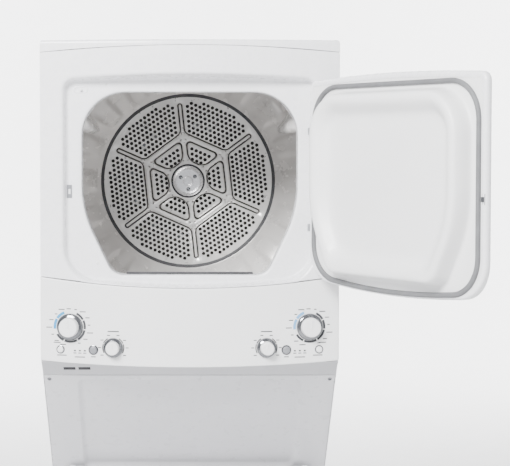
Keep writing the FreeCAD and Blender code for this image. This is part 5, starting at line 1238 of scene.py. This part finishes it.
# ---- pieces kept to the part's own shape, with their edges rounded
def softened(node, slot, body, r, material=None):
    """The part's own piece with welded faces and rounded edges."""
    m = frame["nodes"][node].data.copy()
    m.materials.clear()
    m.transform(Matrix.Scale(1 / MILLI, 4))
    bm = bmesh.new()
    bm.from_mesh(m)
    bmesh.ops.remove_doubles(bm, verts=bm.verts, dist=0.01)
    bmesh.ops.dissolve_limit(bm, angle_limit=math.radians(0.5), verts=bm.verts, edges=bm.edges)
    bm.to_mesh(m)
    bm.free()
    if "custom_normal" in m.attributes:
        m.attributes.remove(m.attributes["custom_normal"])
    piece(node + "_finished", worked(m, bevel=r, angle=40.0), body, slot, node, material)


for node, slot, body, r in (
        ("dryer_sides", "white_enamel", "root", 0.5), ("rear_panels", "galvanised_steel", "root", 0.3),
        ("washer_cabinet", "white_enamel", "root", 0.5), ("washer_base", "galvanised_steel", "root", 0.5),
        ("washer_deck", "white_enamel", "root", 0.5), ("washer_lid", "white_enamel", "lid", 2.0),
        ("door_catch", "grey_button", "root", 0.3),
        ("lint_filter", "dark_plastic", "filter", 0.6), ("agitator", "white_plastic", "agitator", 2.0),
        ("levelling_feet", "dark_plastic", "root", 0.8), ("inlet_valve", "dark_plastic", "root", 0.8),
        ("cord_gland", "dark_plastic", "root", 0.5), ("switch_plunger", "white_plastic", "plunger", 0.5)):
    softened(node, slot, body, r)

softened("door_strike", "bright_steel", "door", 0.25, CHROME)

# ---- the rest of the part's own pieces, each in its slot's finish, except the rear bulkhead, which gets near-black painted shade
SLOTS = {row["node"]: row["material_slot"] for row in frame["record"]["subparts"]}
for node, o in frame["nodes"].items():
    o.data.materials.clear()
    o.data.materials.append(BULKHEAD_PAINTED_SHADE if node == "rear_bulkhead" else MATERIALS[SLOTS[node]])


# ---- small details of the recess
def make_switch_boss():
    """Oval bead pressed round the door switch."""
    rings = []
    for inset, lift in ((0.0, 0.0), (0.8, 0.9), (2.0, 1.5), (3.2, 0.9), (4.0, 0.0)):
        pts = outline([(-17 + inset, -8 + inset, 7.9 - inset), (17 - inset, -8 + inset, 7.9 - inset),
                       (17 - inset, 8 - inset, 7.9 - inset), (-17 + inset, 8 - inset, 7.9 - inset)], 8)
        rings.append([(x + SWITCH_X, FLANGE_Y - lift - 0.05, z + SWITCH_Z) for x, z in pts])
    return worked(loft("boss", rings), angle=60)


piece("switch_bead", make_switch_boss(), "root", "white_enamel")
spots = [(Vector((x, FLANGE_Y - 0.1, z)), FORWARD) for x, z in ((-192.0, 1824.0), (-212.0, 1416.0))]
plug = make_screw_head(3.4, 1.6, 1.7)
plugs = stamped("recess_buttons", plug, spots, MATERIALS["white_plastic"], ANY_TURN, 11)
piece("recess_buttons", plugs, "root", "white_plastic")

# ---- surroundings in metres: floor, light, camera
FLOOR_HALF = 14.0
SWEEP_Y = 7.5
SWEEP_R = 3.5
bends = [math.pi * k / 24 for k in range(13)]
sweep = [(SWEEP_Y + SWEEP_R * math.sin(a), SWEEP_R * (1 - math.cos(a))) for a in bends]
sweep = [(-FLOOR_HALF, 0.0)] + sweep + [(SWEEP_Y + SWEEP_R, 12.0)]
places = [(x, y, z) for y, z in sweep for x in (-FLOOR_HALF, FLOOR_HALF)]
strips = [[2 * k, 2 * k + 1, 2 * k + 3, 2 * k + 2] for k in range(len(sweep) - 1)]
floor_mesh = mesh_of("floor", places, strips, close=False)
floor_mesh.shade_smooth()
floor = in_scene("floor", floor_mesh)
floor.location.z = -0.0005
floor_mesh.materials.append(finish("studio_floor", (0.90, 0.90, 0.90), (0.885, 0.885, 0.885), 0.7,
                                   grain=80.0, bump=0.01))

world = bpy.data.worlds.new("studio")
bpy.context.scene.world = world
world.use_nodes = True
sky = world.node_tree.nodes["Background"]
sky.inputs["Color"].default_value = (0.96, 0.97, 1.0, 1.0)
sky.inputs["Strength"].default_value = 1.1


def area_light(name, place, target, size, power):
    light = bpy.data.lights.new(name, "AREA")
    light.shape = "RECTANGLE"
    light.size, light.size_y = size
    light.energy = power
    o = in_scene(name, light)
    o.location = place
    o.rotation_euler = (Vector(target) - Vector(place)).to_track_quat("-Z", "Y").to_euler()


area_light("key", (-1.3, -3.2, 3.5), (0, 0.1, 1.4), (1.6, 1.2), 420.0)
area_light("fill", (3.4, -3.0, 1.6), (0, 0, 1.3), (1.6, 2.6), 25.0)
for side in (-1, 1):
    area_light("backdrop", (side * 4.5, 6.0, 4.6), (side * 1.2, 11.0, 2.0), (3.0, 3.0), 1250.0)

lens = bpy.data.cameras.new("camera")
lens.sensor_width = 36.0
lens.lens = 102.24
lens.shift_x = 0.151
lens.shift_y = -0.0608
lens.clip_end = 60.0
camera = in_scene("camera", lens)
camera.location = (-0.027, -3.620, 1.683)
camera.rotation_euler = (math.radians(90 - 2.2), 0.0, 0.0)
bpy.context.scene.camera = camera
